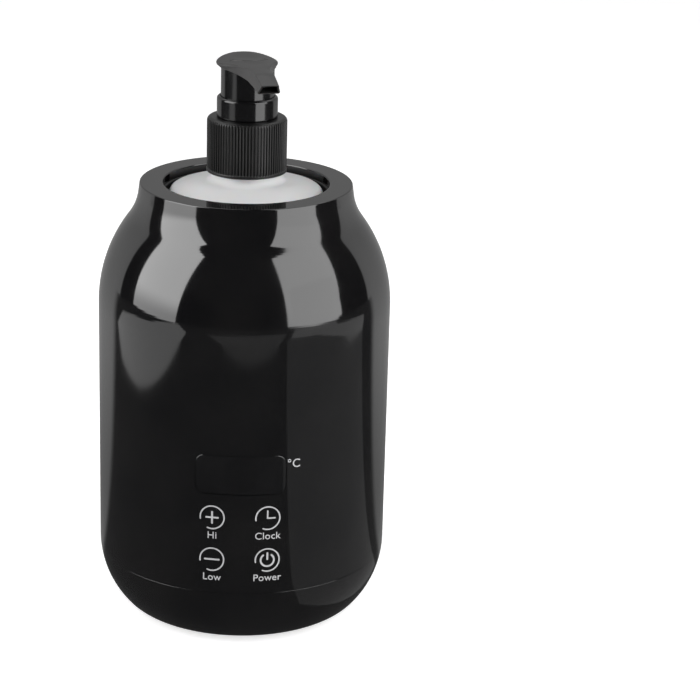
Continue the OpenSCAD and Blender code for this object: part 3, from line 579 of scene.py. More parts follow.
def cut(piece, *cutters):
    """Takes closed shapes out of a piece's mesh."""
    for parts in cutters:
        tool = linked("cutter", mesh_from("cutter", parts))
        modifier = piece.modifiers.new("cut", "BOOLEAN")
        modifier.operation = "DIFFERENCE"
        modifier.solver = "EXACT"
        modifier.object = tool
        bpy.context.view_layer.update()
        evaluated = piece.evaluated_get(bpy.context.evaluated_depsgraph_get())
        mesh = bpy.data.meshes.new_from_object(evaluated)
        piece.modifiers.remove(modifier)
        old = piece.data
        piece.data = mesh
        bpy.data.meshes.remove(old)
        tool_mesh = tool.data
        bpy.data.objects.remove(tool)
        bpy.data.meshes.remove(tool_mesh)
    shade(piece.data)


def cylinder(radius, low, high, place, along="z", segments=64):
    """A closed cylinder along z or y, about place, from low to high."""
    profile = [(0, low), (radius, low), (radius, high), (0, high)]
    verts, faces = revolve(profile, segments, closed=False)
    if along == "y":
        verts = [(x, z, y) for x, y, z in verts]
    return [tuple(Vector(v) + Vector(place)) for v in verts], faces


def wrapped(arc_length, z, radius):
    """The point at an arc length from the front and a height, on a cylinder."""
    return around(radius, arc_length / BODY_R, z)


# Body

def body_outline(inset):
    """Outer line of the body from its side up to its neck, moved inwards."""
    line = [(BODY_R - inset, SHOULDER_Z)]
    line += arc(BODY_R - CONVEX_R, SHOULDER_Z, CONVEX_R - inset, 0, SHOULDER_TURN, 40)[1:]
    line += arc(NECK_R + CONCAVE_R, NECK_Z, CONCAVE_R + inset, 180 + SHOULDER_TURN, 180 + NECK_DRAFT, 24)
    return line


def corner_outline(inset, top_z):
    """Outer line of the base from its flat underside up to a height, moved inwards."""
    line = arc(BASE_FLAT_R, BASE_Z + CORNER_BASE_R, CORNER_BASE_R - inset, -90, -CORNER_TURN, 20)
    end = math.degrees(math.asin((top_z - CORNER_Z) / (CORNER_SIDE_R - inset)))
    line += arc(BODY_R - CORNER_SIDE_R, CORNER_Z, CORNER_SIDE_R - inset, -CORNER_TURN, end, 20)[1:]
    return line


def corner_radius(z):
    """Radius of the base's side curve at a height."""
    return BODY_R - CORNER_SIDE_R + math.sqrt(CORNER_SIDE_R ** 2 - (CORNER_Z - z) ** 2)


def outer_shell():
    groove_z = SEAM_Z + SEAM_GROOVE
    outside = [(corner_radius(SEAM_Z) - SEAM_GROOVE, SEAM_Z), (corner_radius(groove_z), groove_z)]
    outside += [(BODY_R, CORNER_Z)]
    outside += body_outline(0)
    neck_r, neck_z = outside[-1]
    rim_r = neck_r - (RIM_Z - RIM_EDGE - neck_z) * math.tan(math.radians(NECK_DRAFT))
    rim = arc(rim_r - RIM_EDGE, RIM_Z - RIM_EDGE, RIM_EDGE, NECK_DRAFT, 90, 6)
    rim += arc(RIM_OPEN_R + RIM_INNER_EDGE, RIM_Z - RIM_INNER_EDGE, RIM_INNER_EDGE, 90, 180, 6)
    lip_z = RIM_Z - RIM_LIP_H
    rim += [(RIM_OPEN_R, lip_z), (RIM_OPEN_R + RIM_LIP_T, lip_z), (RIM_OPEN_R + RIM_LIP_T, RIM_Z - WALL)]
    inside = list(reversed(body_outline(WALL)))
    inside[0] = (NECK_R - WALL, RIM_Z - WALL)
    inside += [(BODY_R - WALL, SEAM_Z)]
    shell = add("shell_moulding", revolve(supported(outside + rim + inside)), "gloss_black", "warmer",
                ("outer_shell",))
    past_r = BODY_R + CUT_PAST
    pocket = window_prism(WINDOW_W, WINDOW_Z, WINDOW_H, WINDOW_CORNER, BODY_R - WINDOW_T - SHELL_FIT, past_r)
    inlet_z = (INLET_LOW.z + INLET_HIGH.z) / 2
    socket = cylinder(SOCKET_R, BODY_R - SOCKET_DEPTH, past_r, (0, 0, inlet_z), "y")
    cut(shell, pocket, socket)


def window_outline(w, z0, h, corner, steps=10):
    """Left and right points of a rounded rectangle's rows from bottom to top, with their outward slopes."""
    rows = []
    for i in range(steps + 1):
        turn = math.radians(90 * i / steps)
        rows.append((w - corner + corner * math.sin(turn), z0 + corner - corner * math.cos(turn), turn))
    span_h = h - 2 * corner
    for i in range(1, 8):
        rows.append((w, z0 + corner + span_h * i / 8, math.pi / 2))
    for i in range(steps + 1):
        turn = math.radians(90 - 90 * i / steps)
        rows.append((w - corner + corner * math.sin(turn), z0 + h - corner + corner * math.cos(turn),
                     math.pi - turn))
    return rows


def window_prism(w, z0, h, corner, r0, r1):
    """The window's outline between two radii, straight towards the front."""
    rows = window_outline(w, z0, h, corner)
    loop = [(x, z) for x, z, turn in rows] + [(-x, z) for x, z, turn in reversed(rows)]
    count = len(loop)
    verts = []
    for depth in (r0, r1):
        for x, z in loop:
            verts.append(on_curve(x, z, depth))
    faces = [[i, (i + 1) % count, count + (i + 1) % count, count + i] for i in range(count)]
    columns = len(rows)
    for first in (0, count):
        for i in range(columns - 1):
            faces.append([first + i, first + i + 1, first + count - 2 - i, first + count - 1 - i])
    return verts, faces


def display_lens():
    """The dark lens: a plate bent to the body's curve, with a rounded edge."""
    rows = window_outline(WINDOW_W - WINDOW_GAP, WINDOW_Z + WINDOW_GAP, WINDOW_H - 2 * WINDOW_GAP,
                          WINDOW_CORNER - WINDOW_GAP)
    columns = 24
    steps = 5
    layers = [(0.0, BODY_R - WINDOW_T)]
    for k in range(steps + 1):
        turn = math.radians(90 * k / steps)
        layers.append((WINDOW_EDGE * (1 - math.cos(turn)), BODY_R - WINDOW_EDGE * (1 - math.sin(turn))))
    verts = []
    faces = []

    def place(x, z, radius):
        verts.append(on_curve(x, z, radius))
        return len(verts) - 1

    rings = []
    for inset, radius in layers:
        right = [place(x - inset * math.sin(turn), z + inset * math.cos(turn), radius) for x, z, turn in rows]
        left = [place(-x + inset * math.sin(turn), z + inset * math.cos(turn), radius) for x, z, turn in rows]
        rings.append((left, right))

    def across(left, right, radius):
        """Rows of vertices from the left edge to the right edge."""
        grid = []
        for a, b in zip(left, right):
            x0, x1, z = verts[a][0], verts[b][0], verts[a][2]
            middle = [place(x0 + (x1 - x0) * k / columns, z, radius) for k in range(1, columns)]
            grid.append([a] + middle + [b])
        return grid

    front = across(*rings[-1], layers[-1][1])
    back = across(*rings[0], layers[0][1])
    for grid in (front, back):
        for low, high in zip(grid, grid[1:]):
            faces.extend(strip(low, high))
    for lower, upper in zip(rings, rings[1:]):
        for side_a, side_b in zip(lower, upper):
            faces.extend(strip(side_a, side_b))
    for end in (0, len(rows) - 1):
        lines = [back[end]]
        for (left, right), (inset, radius) in list(zip(rings, layers))[1:-1]:
            lines += across([left[end]], [right[end]], radius)
        lines.append(front[end])
        for a, b in zip(lines, lines[1:]):
            faces.extend(strip(a, b))
    add("display_lens", (verts, faces), "lens_black", "warmer", ("display_window",))


def base_bowl():
    outside = [(0, BASE_Z)] + corner_outline(0, SEAM_Z - SEAM_EDGE)
    side_r = outside[-1][0]
    lip_r = BODY_R - WALL - SHELL_FIT
    lip_low_z = SEAM_Z - LIP_H
    lip_top_z = SEAM_Z + LIP_H
    outside += arc(side_r - SEAM_EDGE, SEAM_Z - SEAM_EDGE, SEAM_EDGE, 0, 90, 5)[1:]
    lip = [(lip_r, SEAM_Z), (lip_r, lip_top_z), (lip_r - LIP_T, lip_top_z), (lip_r - LIP_T, lip_low_z)]
    inside = list(reversed(corner_outline(WALL, lip_low_z))) + [(0, BASE_Z + WALL)]
    inside[0] = (inside[0][0], lip_low_z)
    turned = revolve(supported(outside + lip + inside, closed=False), closed=False)
    bowl = add("base_bowl", turned, "gloss_black", "warmer", ("base_cover",))
    cutters = []
    for i in range(4):
        foot = math.radians(90 * i)
        screw = math.radians(45 + 90 * i)
        foot_place = (FOOT_CIRCLE_R * math.cos(foot), FOOT_CIRCLE_R * math.sin(foot), 0)
        screw_place = (SCREW_CIRCLE_R * math.cos(screw), SCREW_CIRCLE_R * math.sin(screw), 0)
        cutters.append(cylinder(FOOT_R + SHELL_FIT, -CUT_PAST, BASE_Z + FOOT_RECESS, foot_place))
        cutters.append(cylinder(SCREW_HEAD_R + SCREW_ROOM, -CUT_PAST, SCREW_SEAT_Z, screw_place, segments=48))
    cut(bowl, *cutters)


def warm_well():
    """The dark-coated cup that takes the bottle, with its rolled lip."""
    out_r = WELL_R + WELL_WALL
    low_z = WELL_LOW.z
    top_z = WELL_HIGH.z
    flange_r = WELL_HIGH.x
    profile = [(0, low_z)] + arc(out_r - WELL_CORNER, low_z + WELL_CORNER, WELL_CORNER, -90, 0, 8)
    profile += [(out_r, top_z - WELL_WALL), (flange_r, top_z - WELL_WALL), (flange_r, top_z)]
    profile += arc(WELL_R + WELL_EDGE, top_z - WELL_EDGE, WELL_EDGE, 90, 180, 5)
    inner = WELL_CORNER - WELL_WALL
    profile += arc(WELL_R - inner, WELL_FLOOR_Z + inner, inner, 0, -90, 8) + [(0, WELL_FLOOR_Z)]
    add("warm_well", revolve(supported(profile, closed=False), 192, closed=False), "well_coat", "warmer",
        ("heating_well",))


# Panel marks

def ribbon(points, width):
    """A thin printed stroke along points of arc length and height, with round ends."""
    half = width / 2
    fine = [Vector(points[0])]
    for a, b in zip(points, points[1:]):
        a, b = Vector(a), Vector(b)
        pieces = max(1, math.ceil((b - a).length / PRINT_STEP))
        fine.extend(a + (b - a) * k / pieces for k in range(1, pieces + 1))
    sections = []
    start = (fine[0] - fine[1]).normalized()
    end = (fine[-1] - fine[-2]).normalized()
    ends = [(half * math.sin(turn), half * math.cos(turn)) for turn in map(math.radians, (20, 40, 60, 80))]
    for reach, wide in reversed(ends):
        sections.append((fine[0] + start * reach, wide, -start))
    for i, p in enumerate(fine):
        before = fine[max(i - 1, 0)]
        after = fine[min(i + 1, len(fine) - 1)]
        sections.append((p, half, (after - before).normalized()))
    for reach, wide in ends:
        sections.append((fine[-1] + end * reach, wide, end))
    rings = []
    for p, wide, along in sections:
        side = Vector((-along.y, along.x)) * wide
        low_r, high_r = BODY_R - PRINT_T, BODY_R + PRINT_T
        corners = ((p - side, low_r), (p + side, low_r), (p + side, high_r), (p - side, high_r))
        rings.append([wrapped(*place, radius) for place, radius in corners])
    return swept(rings)


def icon(column, row, strokes):
    """An open ring with the strokes of its symbol."""
    ring = arc(column, row, ICON_R, ICON_GAP[1] - 360, ICON_GAP[0], 56)
    parts = [ribbon(ring, ICON_STROKE)]
    for points, width in strokes:
        parts.append(ribbon([(column + x, row + z) for x, z in points], width))
    return parts


def panel_marks():
    left, right = ICON_COLUMNS
    high, low = ICON_ROWS
    bar = SYMBOL_BAR
    hand = SYMBOL_HAND
    parts = icon(left, high, [([(-2.0, 0), (2.0, 0)], bar), ([(0, -2.0), (0, 2.0)], bar)])
    parts += icon(right, high, [([(-0.1, 2.6), (-0.1, 0)], hand), ([(-0.1, 0), (2.4, 0)], hand)])
    parts += icon(left, low, [([(-2.4, 0), (2.4, 0)], bar)])
    parts += icon(right, low, [(arc(0, 0, 2.25, 128, 412, 40), bar), ([(0, 0.3), (0, 2.5)], bar)])
    add("panel_icons", joined(*parts), "print_grey", "warmer")
    words = []
    legends = ((left, high, "Hi"), (right, high, "Clock"), (left, low, "Low"), (right, low, "Power"))
    for column, row, word in legends:
        words.append(lettering(word, column, row - LEGEND_DROP, LEGEND_SIZE))
    words.append(lettering("°C", UNIT_ARC, UNIT_Z, UNIT_SIZE))
    add("panel_legends", joined(*words), "print_grey", "warmer")


def lettering(word, column, row, size):
    """A plain word, centred on a point of the panel and wrapped on the body."""
    curve = bpy.data.curves.new("word", "FONT")
    curve.body = word
    curve.size = size
    curve.align_x = "CENTER"
    curve.offset = LETTER_WEIGHT
    curve.space_character = LETTER_SPACE
    holder = linked("word", curve)
    bpy.context.view_layer.update()
    mesh = bpy.data.meshes.new_from_object(holder.evaluated_get(bpy.context.evaluated_depsgraph_get()))
    work = bmesh.new()
    work.from_mesh(mesh)
    bmesh.ops.remove_doubles(work, verts=work.verts, dist=1e-4)
    flat = list(work.faces)
    raised = bmesh.ops.extrude_face_region(work, geom=flat, use_keep_orig=True)
    for item in raised["geom"]:
        if isinstance(item, bmesh.types.BMVert):
            item.co.z = PRINT_T
    verts = [wrapped(column + v.co.x, row + v.co.y, BODY_R + v.co.z) for v in work.verts]
    work.verts.index_update()
    faces = [[v.index for v in face.verts] for face in work.faces]
    work.free()
    bpy.data.objects.remove(holder)
    bpy.data.curves.remove(curve)
    bpy.data.meshes.remove(mesh)
    return verts, faces


# Bottle and pump

def pump_bottle():
    neck_top_z = CAP_Z - BOTTLE_CAP_GAP
    neck_z = neck_top_z - BOTTLE_NECK_BARE
    edge_x = BOTTLE_R - BOTTLE_EDGE_R
    turn = math.radians(BOTTLE_EDGE_TURN)
    dome_x = edge_x - (BOTTLE_DOME_R - BOTTLE_EDGE_R) * math.cos(turn)
    dome_z = neck_z - math.sqrt(BOTTLE_DOME_R ** 2 - (BOTTLE_NECK_R - dome_x) ** 2)
    edge_z = dome_z + (BOTTLE_DOME_R - BOTTLE_EDGE_R) * math.sin(turn)
    fillet_x = BOTTLE_NECK_R + BOTTLE_FILLET_R
    fillet_turn = math.acos((fillet_x - dome_x) / (BOTTLE_DOME_R + BOTTLE_FILLET_R))
    fillet_z = dome_z + (BOTTLE_DOME_R + BOTTLE_FILLET_R) * math.sin(fillet_turn)
    fillet_turn = math.degrees(fillet_turn)

    def line(inset, top):
        corner_z = BOTTLE_Z + BOTTLE_CORNER_R
        points = arc(BOTTLE_R - BOTTLE_CORNER_R, corner_z, BOTTLE_CORNER_R - inset, -90, 0, 10)
        points += arc(edge_x, edge_z, BOTTLE_EDGE_R - inset, 0, BOTTLE_EDGE_TURN, 12)
        points += arc(dome_x, dome_z, BOTTLE_DOME_R - inset, BOTTLE_EDGE_TURN, top, 24)[1:]
        return points

    push_r = BOTTLE_R - BOTTLE_PUSH_INSET
    push_z = BOTTLE_Z + BOTTLE_PUSH_UP
    outside = [(0, push_z), (push_r - BOTTLE_PUSH_SLOPE, push_z), (push_r, BOTTLE_Z)]
    outside += line(0, fillet_turn)
    outside += arc(fillet_x, fillet_z, BOTTLE_FILLET_R, 180 + fillet_turn, 180, 10)[1:]
    mouth_z = BOTTLE_HIGH.z
    mouth = [(BOTTLE_NECK_R, mouth_z - BOTTLE_MOUTH_EDGE), (BOTTLE_NECK_R - BOTTLE_MOUTH_EDGE, mouth_z),
             (BOTTLE_BORE_R, mouth_z)]
    bore_turn = math.degrees(math.acos((BOTTLE_BORE_R - dome_x) / (BOTTLE_DOME_R - BOTTLE_WALL)))
    inside = list(reversed(line(BOTTLE_WALL, bore_turn)))
    inside += [(push_r, push_z + BOTTLE_WALL), (0, push_z + BOTTLE_WALL)]
    body = revolve(supported(outside + mouth + inside, closed=False), 256, closed=False)
    thread = neck_thread(neck_top_z + THREAD_UP)
    add("pump_bottle", joined(body, thread), "bottle_white", "bottle", ("bottle",))


def neck_thread(low_z):
    """A rounded helical ridge round the bottle's neck."""
    steps = 48
    total = int(steps * THREAD_TURNS)
    flank = THREAD_H * 0.75
    section = [(0, -THREAD_HALF), (flank, -THREAD_CREST), (THREAD_H, 0), (flank, THREAD_CREST)]
    section.append((0, THREAD_HALF))
    rings = []
    for i in range(total + 1):
        turn = 2 * math.pi * i / steps
        fade = min(1.0, THREAD_FADE * i / total, THREAD_FADE * (total - i) / total)
        height = THREAD_END + (1 - THREAD_END) * fade
        z = low_z + THREAD_PITCH * i / steps
        ring = []
        for out, up in section:
            r = BOTTLE_NECK_R + out * fade - THREAD_SINK
            ring.append(around(r, turn, z + up * height))
        rings.append(ring)
    return swept(rings)


def ribbed_cap():
    rib_low = CAP_Z + CAP_BAND_H
    corner_z = CAP_TOP_Z - CAP_CORNER_R
    rib_r = CAP_R - CAP_RIB_INSET
    pitch = 2 * math.pi / CAP_RIBS

    def shape(r, z, turn):
        """Sinks the grooves between the ribs, which run out on the rounded upper edge."""
        if r < rib_r - CAP_RIB_DEPTH or z < rib_low + 0.01:
            return r
        aside = (0.5 - abs((turn / pitch) % 1.0 - 0.5)) / CAP_RIB_HALF
        crest = math.sqrt(max(0.0, 1 - aside * aside))
        fade = min(1.0, (z - rib_low) / CAP_RIB_RUN)
        return min(r, rib_r - CAP_RIB_DEPTH * (1 - crest) * fade)

    outside = [(CAP_BORE_R, CAP_Z)] + arc(CAP_R - CAP_EDGE, CAP_Z + CAP_EDGE, CAP_EDGE, -90, 0, 5)
    outside += [(CAP_R, rib_low - CAP_BAND_EDGE), (rib_r, rib_low)]
    rise = corner_z - rib_low
    outside += [(rib_r, rib_low + step) for step in CAP_RIB_STEPS]
    outside += [(rib_r, rib_low + rise * k / 6) for k in range(1, 6)]
    outside += arc(rib_r - CAP_CORNER_R, corner_z, CAP_CORNER_R, 0, 90, 16)
    under_z = CAP_TOP_Z - CAP_TOP_T
    inside = [(CAP_OPEN_R, CAP_TOP_Z), (CAP_OPEN_R, under_z), (CAP_BORE_R, under_z)]
    parts = revolve(supported(outside + inside), CAP_RIBS * 12, True, shape)
    add("ribbed_cap", parts, "cap_satin", "closure", ("closure_cap",))


def collar_ring():
    profile = [(SPIGOT_R, COLLAR_LOW.z), (SPIGOT_R, COLLAR_Z)]
    profile += [(COLLAR_R - COLLAR_LOW_EDGE, COLLAR_Z), (COLLAR_R, COLLAR_Z + COLLAR_LOW_EDGE)]
    profile += arc(COLLAR_R - COLLAR_EDGE_R, COLLAR_TOP_Z - COLLAR_EDGE_R, COLLAR_EDGE_R, 0, 90, 10)
    profile += [(COLLAR_BORE_R, COLLAR_TOP_Z), (COLLAR_BORE_R, COLLAR_LOW.z)]
    turned = revolve(supported(profile, reach=0.06), 192)
    add("collar_ring", turned, "pump_gloss", "pump_engine", ("pump_collar",))


def smooth_step(value, low, high):
    t = max(0.0, min(1.0, (value - low) / (high - low)))
    return t * t * (3 - 2 * t)


def head_width(s):
    """Half width of the head's top outline at a reach: the plate runs in a curve into the slim spout."""
    end_slope = (SPOUT_TOP_W - SPOUT_SLIM_W) / (SPOUT_REACH - SPOUT_SLIM_S)
    if s <= PLATE_LEAVE_S:
        return math.sqrt(max(PLATE_R ** 2 - (s + PLATE_BACK) ** 2, 0))
    if s >= SPOUT_SLIM_S:
        return SPOUT_SLIM_W + end_slope * (s - SPOUT_SLIM_S)
    leave_w = math.sqrt(PLATE_R ** 2 - (PLATE_LEAVE_S + PLATE_BACK) ** 2)
    reach = SPOUT_SLIM_S - PLATE_LEAVE_S
    slope_a = -(PLATE_LEAVE_S + PLATE_BACK) / leave_w * reach
    slope_b = end_slope * reach
    t = (s - PLATE_LEAVE_S) / reach
    return ((2 * t ** 3 - 3 * t ** 2 + 1) * leave_w + (t ** 3 - 2 * t ** 2 + t) * slope_a
            + (3 * t ** 2 - 2 * t ** 3) * SPOUT_SLIM_W + (t ** 3 - t ** 2) * slope_b)


def soft_min(a, b, reach):
    """The smaller of two heights, with the crease between them rounded."""
    near = max(reach - abs(a - b), 0) / reach
    return min(a, b) - near * near * reach / 4


def head_top(s, x):
    """Height of the head's top: a dished plate that runs into a spout with a falling end, under one crown."""
    out = min(1.0, math.hypot(x, s + PLATE_BACK) / DISH_R)
    plate = PLATE_TOP_Z - DISH_DEPTH * (1 - out * out) ** 2
    start_z = PLATE_TOP_Z - SPOUT_START_DROP
    rise = start_z + (SPOUT_CREST_Z - start_z) * (s - SPOUT_START_S) / (SPOUT_CREST_S - SPOUT_START_S)
    fall = SPOUT_CREST_Z - (SPOUT_CREST_Z - SPOUT_TIP_Z) * (s - SPOUT_CREST_S) / (SPOUT_REACH - SPOUT_CREST_S)
    spout = soft_min(rise, fall, SPOUT_CREASE)
    across = x / head_width(max(s, 0))
    bulge = SPOUT_BULGE - SPOUT_BULGE_LESS * smooth_step(s, *BULGE_LESS_S)
    spout -= bulge * across ** 2 * smooth_step(s, *BULGE_S)
    share = smooth_step(s, *BLEND_S)
    crown = HEAD_TOP_Z - x * x / (2 * CROWN_R)
    return soft_min(plate + (spout - plate) * share, crown, CROWN_CREASE)


def head_under(s):
    """Height of the head's underside: level under the plate, then down in a slow curve to the spout's lip."""
    reach = max(0.0, min(1.0, (s - SPOUT_UNDER_S) / (SPOUT_REACH - SPOUT_UNDER_S)))
    root_z = FLARE_Z + SPOUT_UNDER_UP * smooth_step(s, *ROOT_S)
    return root_z - (root_z - SPOUT_LIP_Z) * (UNDER_STRAIGHT * reach + (1 - UNDER_STRAIGHT) * reach ** 3)


def head_shell():
    """Vertices and faces of the plate and spout. The spout's end is the face with the most corners."""
    rows = []
    leave = math.degrees(math.acos(-(PLATE_LEAVE_S + PLATE_BACK) / PLATE_R))
    for i in range(49):
        turn = math.radians(leave * i / 48)
        rows.append(-PLATE_BACK - PLATE_R * math.cos(turn))
    rows += [PLATE_LEAVE_S + (SPOUT_REACH - PLATE_LEAVE_S) * i / 60 for i in range(1, 61)]
    columns = 24
    verts = []
    faces = []

    def place(s, x, z):
        drop = (SPOUT_TIP_Z - z) / (SPOUT_TIP_Z - SPOUT_LIP_Z)
        lean = SPOUT_CUT * smooth_step(s, *LEAN_S) * max(0.0, min(SPOUT_LEAN_MOST, drop))
        verts.append((x, -(s - lean), z))
        return len(verts) - 1

    def normal(s):
        """Outward direction in plan on the right-hand side, as (reach, width)."""
        if s <= PLATE_LEAVE_S:
            return (s + PLATE_BACK) / PLATE_R, head_width(s) / PLATE_R
        step = 0.02
        ahead = min(s + step, SPOUT_REACH)
        slope = (head_width(ahead) - head_width(s - step)) / (ahead - s + step)
        size = math.hypot(1, slope)
        return -slope / size, 1 / size

    def wall_line(s, side, last):
        """A side's points from the top's edge round and down to the underside."""
        w = head_width(s)
        along, across = normal(s)
        if last:
            along, across = 0.0, 1.0
        slim = smooth_step(s, *EDGE_S)
        edge = SPOUT_EDGE_R
        for _ in range(4):
            top_z = head_top(s - along * edge, max(w - across * edge, 0.0))
            edge = max(PLATE_EDGE_LEAST, top_z - PLATE_EDGE_Z) * (1 - slim) + SPOUT_EDGE_R * slim
        low_edge = PLATE_LOW_EDGE_R * (1 - slim) + PLATE_LOW_EDGE_LEAST

        def bend(at_s, at_w, at_z, r, start, end, steps):
            """Points round an edge whose outermost place is (at_s, at_w, at_z)."""
            return [(at_s - along * (r - x), at_w - across * (r - x), at_z + z)
                    for x, z in arc(0, 0, r, start, end, steps)]

        points = bend(s, w, top_z - edge, edge, 90, 0, 6)
        points += bend(s, w, top_z - edge, low_edge, 0, -45, 3)[1:]
        away = math.hypot(s, w)
        skirt_s = s / away * (SKIRT_R + SKIRT_PROUD)
        skirt_w = w / away * (SKIRT_R + SKIRT_PROUD)
        leaves = smooth_step(s, *LEAVE_S)
        foot_s = skirt_s + (s - skirt_s) * leaves
        foot_w = skirt_w + (w + SPOUT_DRAFT * smooth_step(s, *DRAFT_S) - skirt_w) * leaves
        foot_z = head_under(s)
        from_s, from_w, from_z = points[-1]
        corner = SPOUT_LOW_CORNER + SPOUT_LOW_CORNER_MORE * smooth_step(s, *LOW_CORNER_S)
        for part in (0.35, 0.7):
            points.append((from_s + (foot_s - from_s) * part, from_w + (foot_w - from_w) * part,
                           from_z + (foot_z + corner - from_z) * part))
        points += bend(foot_s, foot_w, foot_z + corner, corner, 0, -90, 4)
        return [place(SPOUT_REACH if last else p[0], side * p[1], p[2]) for p in points]

    top_rows = []
    under_rows = []
    walls = {1: [], -1: []}
    for s in rows:
        last = s == rows[-1]
        ends = {}
        for side in (1, -1):
            ends[side] = wall_line(s, side, last)
            walls[side].append(ends[side])
        half, y, z = verts[ends[1][0]]
        reach = SPOUT_REACH if last else -y
        steps = [2 * k / columns - 1 for k in range(1, columns)]
        middle = [place(reach, half * step, head_top(reach, half * step)) for step in steps]
        top_rows.append([ends[-1][0]] + middle + [ends[1][0]])
        half, y, z = verts[ends[1][-1]]
        middle = list(range(len(verts), len(verts) + len(steps)))
        verts.extend((half * step, y, z) for step in steps)
        under_rows.append([ends[-1][-1]] + middle + [ends[1][-1]])
    for grid in (top_rows, under_rows, walls[1], walls[-1]):
        for a, b in zip(grid, grid[1:]):
            faces.extend(strip(a, b))
    right = walls[1][-1]
    left = walls[-1][-1]
    faces.append(top_rows[-1][:-1] + right + list(reversed(under_rows[-1]))[1:-1] + list(reversed(left))[:-1])
    return verts, faces


def relief_arrow():
    """A low arc with an arrowhead at each end, round the front of the thumb plate."""
    steps = 40

    def point(r, turn, lift):
        x = r * math.sin(turn)
        s = -PLATE_BACK + r * math.cos(turn)
        return (x, -s, head_top(s, x) + lift)

    crest = RELIEF_HALF * 0.7
    across = ((-RELIEF_HALF, RELIEF_SINK), (-crest, RELIEF_H), (crest, RELIEF_H), (RELIEF_HALF, RELIEF_SINK))
    turns = [math.radians(RELIEF_SPREAD * (2 * i / steps - 1)) for i in range(steps + 1)]
    parts = [swept([[point(RELIEF_R + out, turn, lift) for out, lift in across] for turn in turns])]
    for side in (-1, 1):
        base = math.radians(side * RELIEF_SPREAD)
        ahead = math.radians(side * (RELIEF_SPREAD + RELIEF_HEAD_TURN))
        rings = []
        for half, lift in zip(RELIEF_HEAD_HALF, (RELIEF_SINK, RELIEF_H)):
            corners = ((-half, base), (half, base), (0, ahead))
            rings.append([point(RELIEF_R + out, turn, lift) for out, turn in corners])
        parts.append(swept(rings))
    return joined(*parts)


def pump_head():
    """Skirt, thumb plate and spout, with the spout's open end."""
    edge_z = SKIRT_Z + SKIRT_EDGE
    top_z = FLARE_Z + SKIRT_OVERLAP
    skirt = arc(SKIRT_R - SKIRT_T + SKIRT_EDGE, edge_z, SKIRT_EDGE, 180, 270, 4)
    skirt += arc(SKIRT_R - SKIRT_EDGE, edge_z, SKIRT_EDGE, -90, 0, 4)
    skirt += [(SKIRT_R, top_z), (SKIRT_R - SKIRT_T, top_z)]
    turn = Matrix.Rotation(math.radians(HEAD_TURN), 3, "Z")
    verts, faces = joined(head_shell(), relief_arrow())
    head = ([turn @ Vector(v) for v in verts], faces)
    piece = add("pump_head_moulding", joined(head, revolve(supported(skirt, reach=0.06), 192)), "pump_satin",
                "pump_head", ("pump_head",))
    piece.data.materials.append(MATERIALS["pump_gloss"])
    work = bmesh.new()
    work.from_mesh(piece.data)
    work.faces.ensure_lookup_table()
    end = max(work.faces, key=lambda face: len(face.verts))
    bmesh.ops.inset_individual(work, faces=[end], thickness=SPOUT_WALL * MM)
    pushed = bmesh.ops.extrude_discrete_faces(work, faces=[end])["faces"]
    inward = turn @ Vector((0, 1, SPOUT_BORE_RISE)) * SPOUT_BORE * MM
    bmesh.ops.translate(work, vec=inward, verts=list({v for f in pushed for v in f.verts}))
    for face in work.faces:
        centre = face.calc_center_median() / MM
        if centre.z < FLARE_Z + GLOSS_UP and math.hypot(centre.x, centre.y) < SKIRT_R + GLOSS_OUT:
            face.material_index = 1
    bmesh.ops.recalc_face_normals(work, faces=work.faces)
    work.to_mesh(piece.data)
    work.free()
    shade(piece.data, 30)


def return_coil():
    """Coil spring under the piston, built at one length; on the real pump it shortens as the head is pressed.
    """
    per_turn = 40
    sides = 10
    count = SPRING_TURNS * per_turn
    low = SPRING_LOW.z + SPRING_WIRE_R
    rise = SPRING_HIGH.z - SPRING_WIRE_R - low
    rings = []
    for i in range(count + 1):
        turn = 2 * math.pi * i / per_turn
        section = arc(SPRING_R, low + rise * i / count, SPRING_WIRE_R, 0, 360, sides)[:-1]
        rings.append([(r * math.cos(turn), r * math.sin(turn), z) for r, z in section])
    piece = add("spring_coil", swept(rings), "steel", "pump_engine", ("return_spring",))
    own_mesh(piece)


# CAD pieces that keep their own shape

CAD_LOOKS = {
    "rubber_feet": "rubber", "base_screws": "steel", "well_support": "inner_plastic",
    "bottle_pad": "silicone", "heater_band": "heater", "insulation_sleeve": "insulation",
    "temperature_sensor": "sensor", "thermal_fuse": "fuse", "control_board": "board",
    "board_screws": "steel", "display_module": "display",
    "touch_pads": "foam", "buzzer": "inner_plastic", "power_inlet": "pump_gloss", "power_leads": "red_lead",
    "heater_leads": "pale_lead", "neck_gasket": "silicone", "pump_housing": "pump_clear",
    "piston_stop": "pump_clear", "dip_tube": "pump_clear", "inlet_ball": "steel",
    "piston_seal": "pump_clear", "pump_stem": "pump_clear", "outlet_ball": "steel",
}


def dress_cad():
    for node, look in CAD_LOOKS.items():
        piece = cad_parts[node]
        piece.data.materials.clear()
        piece.data.materials.append(MATERIALS[look])


# Studio

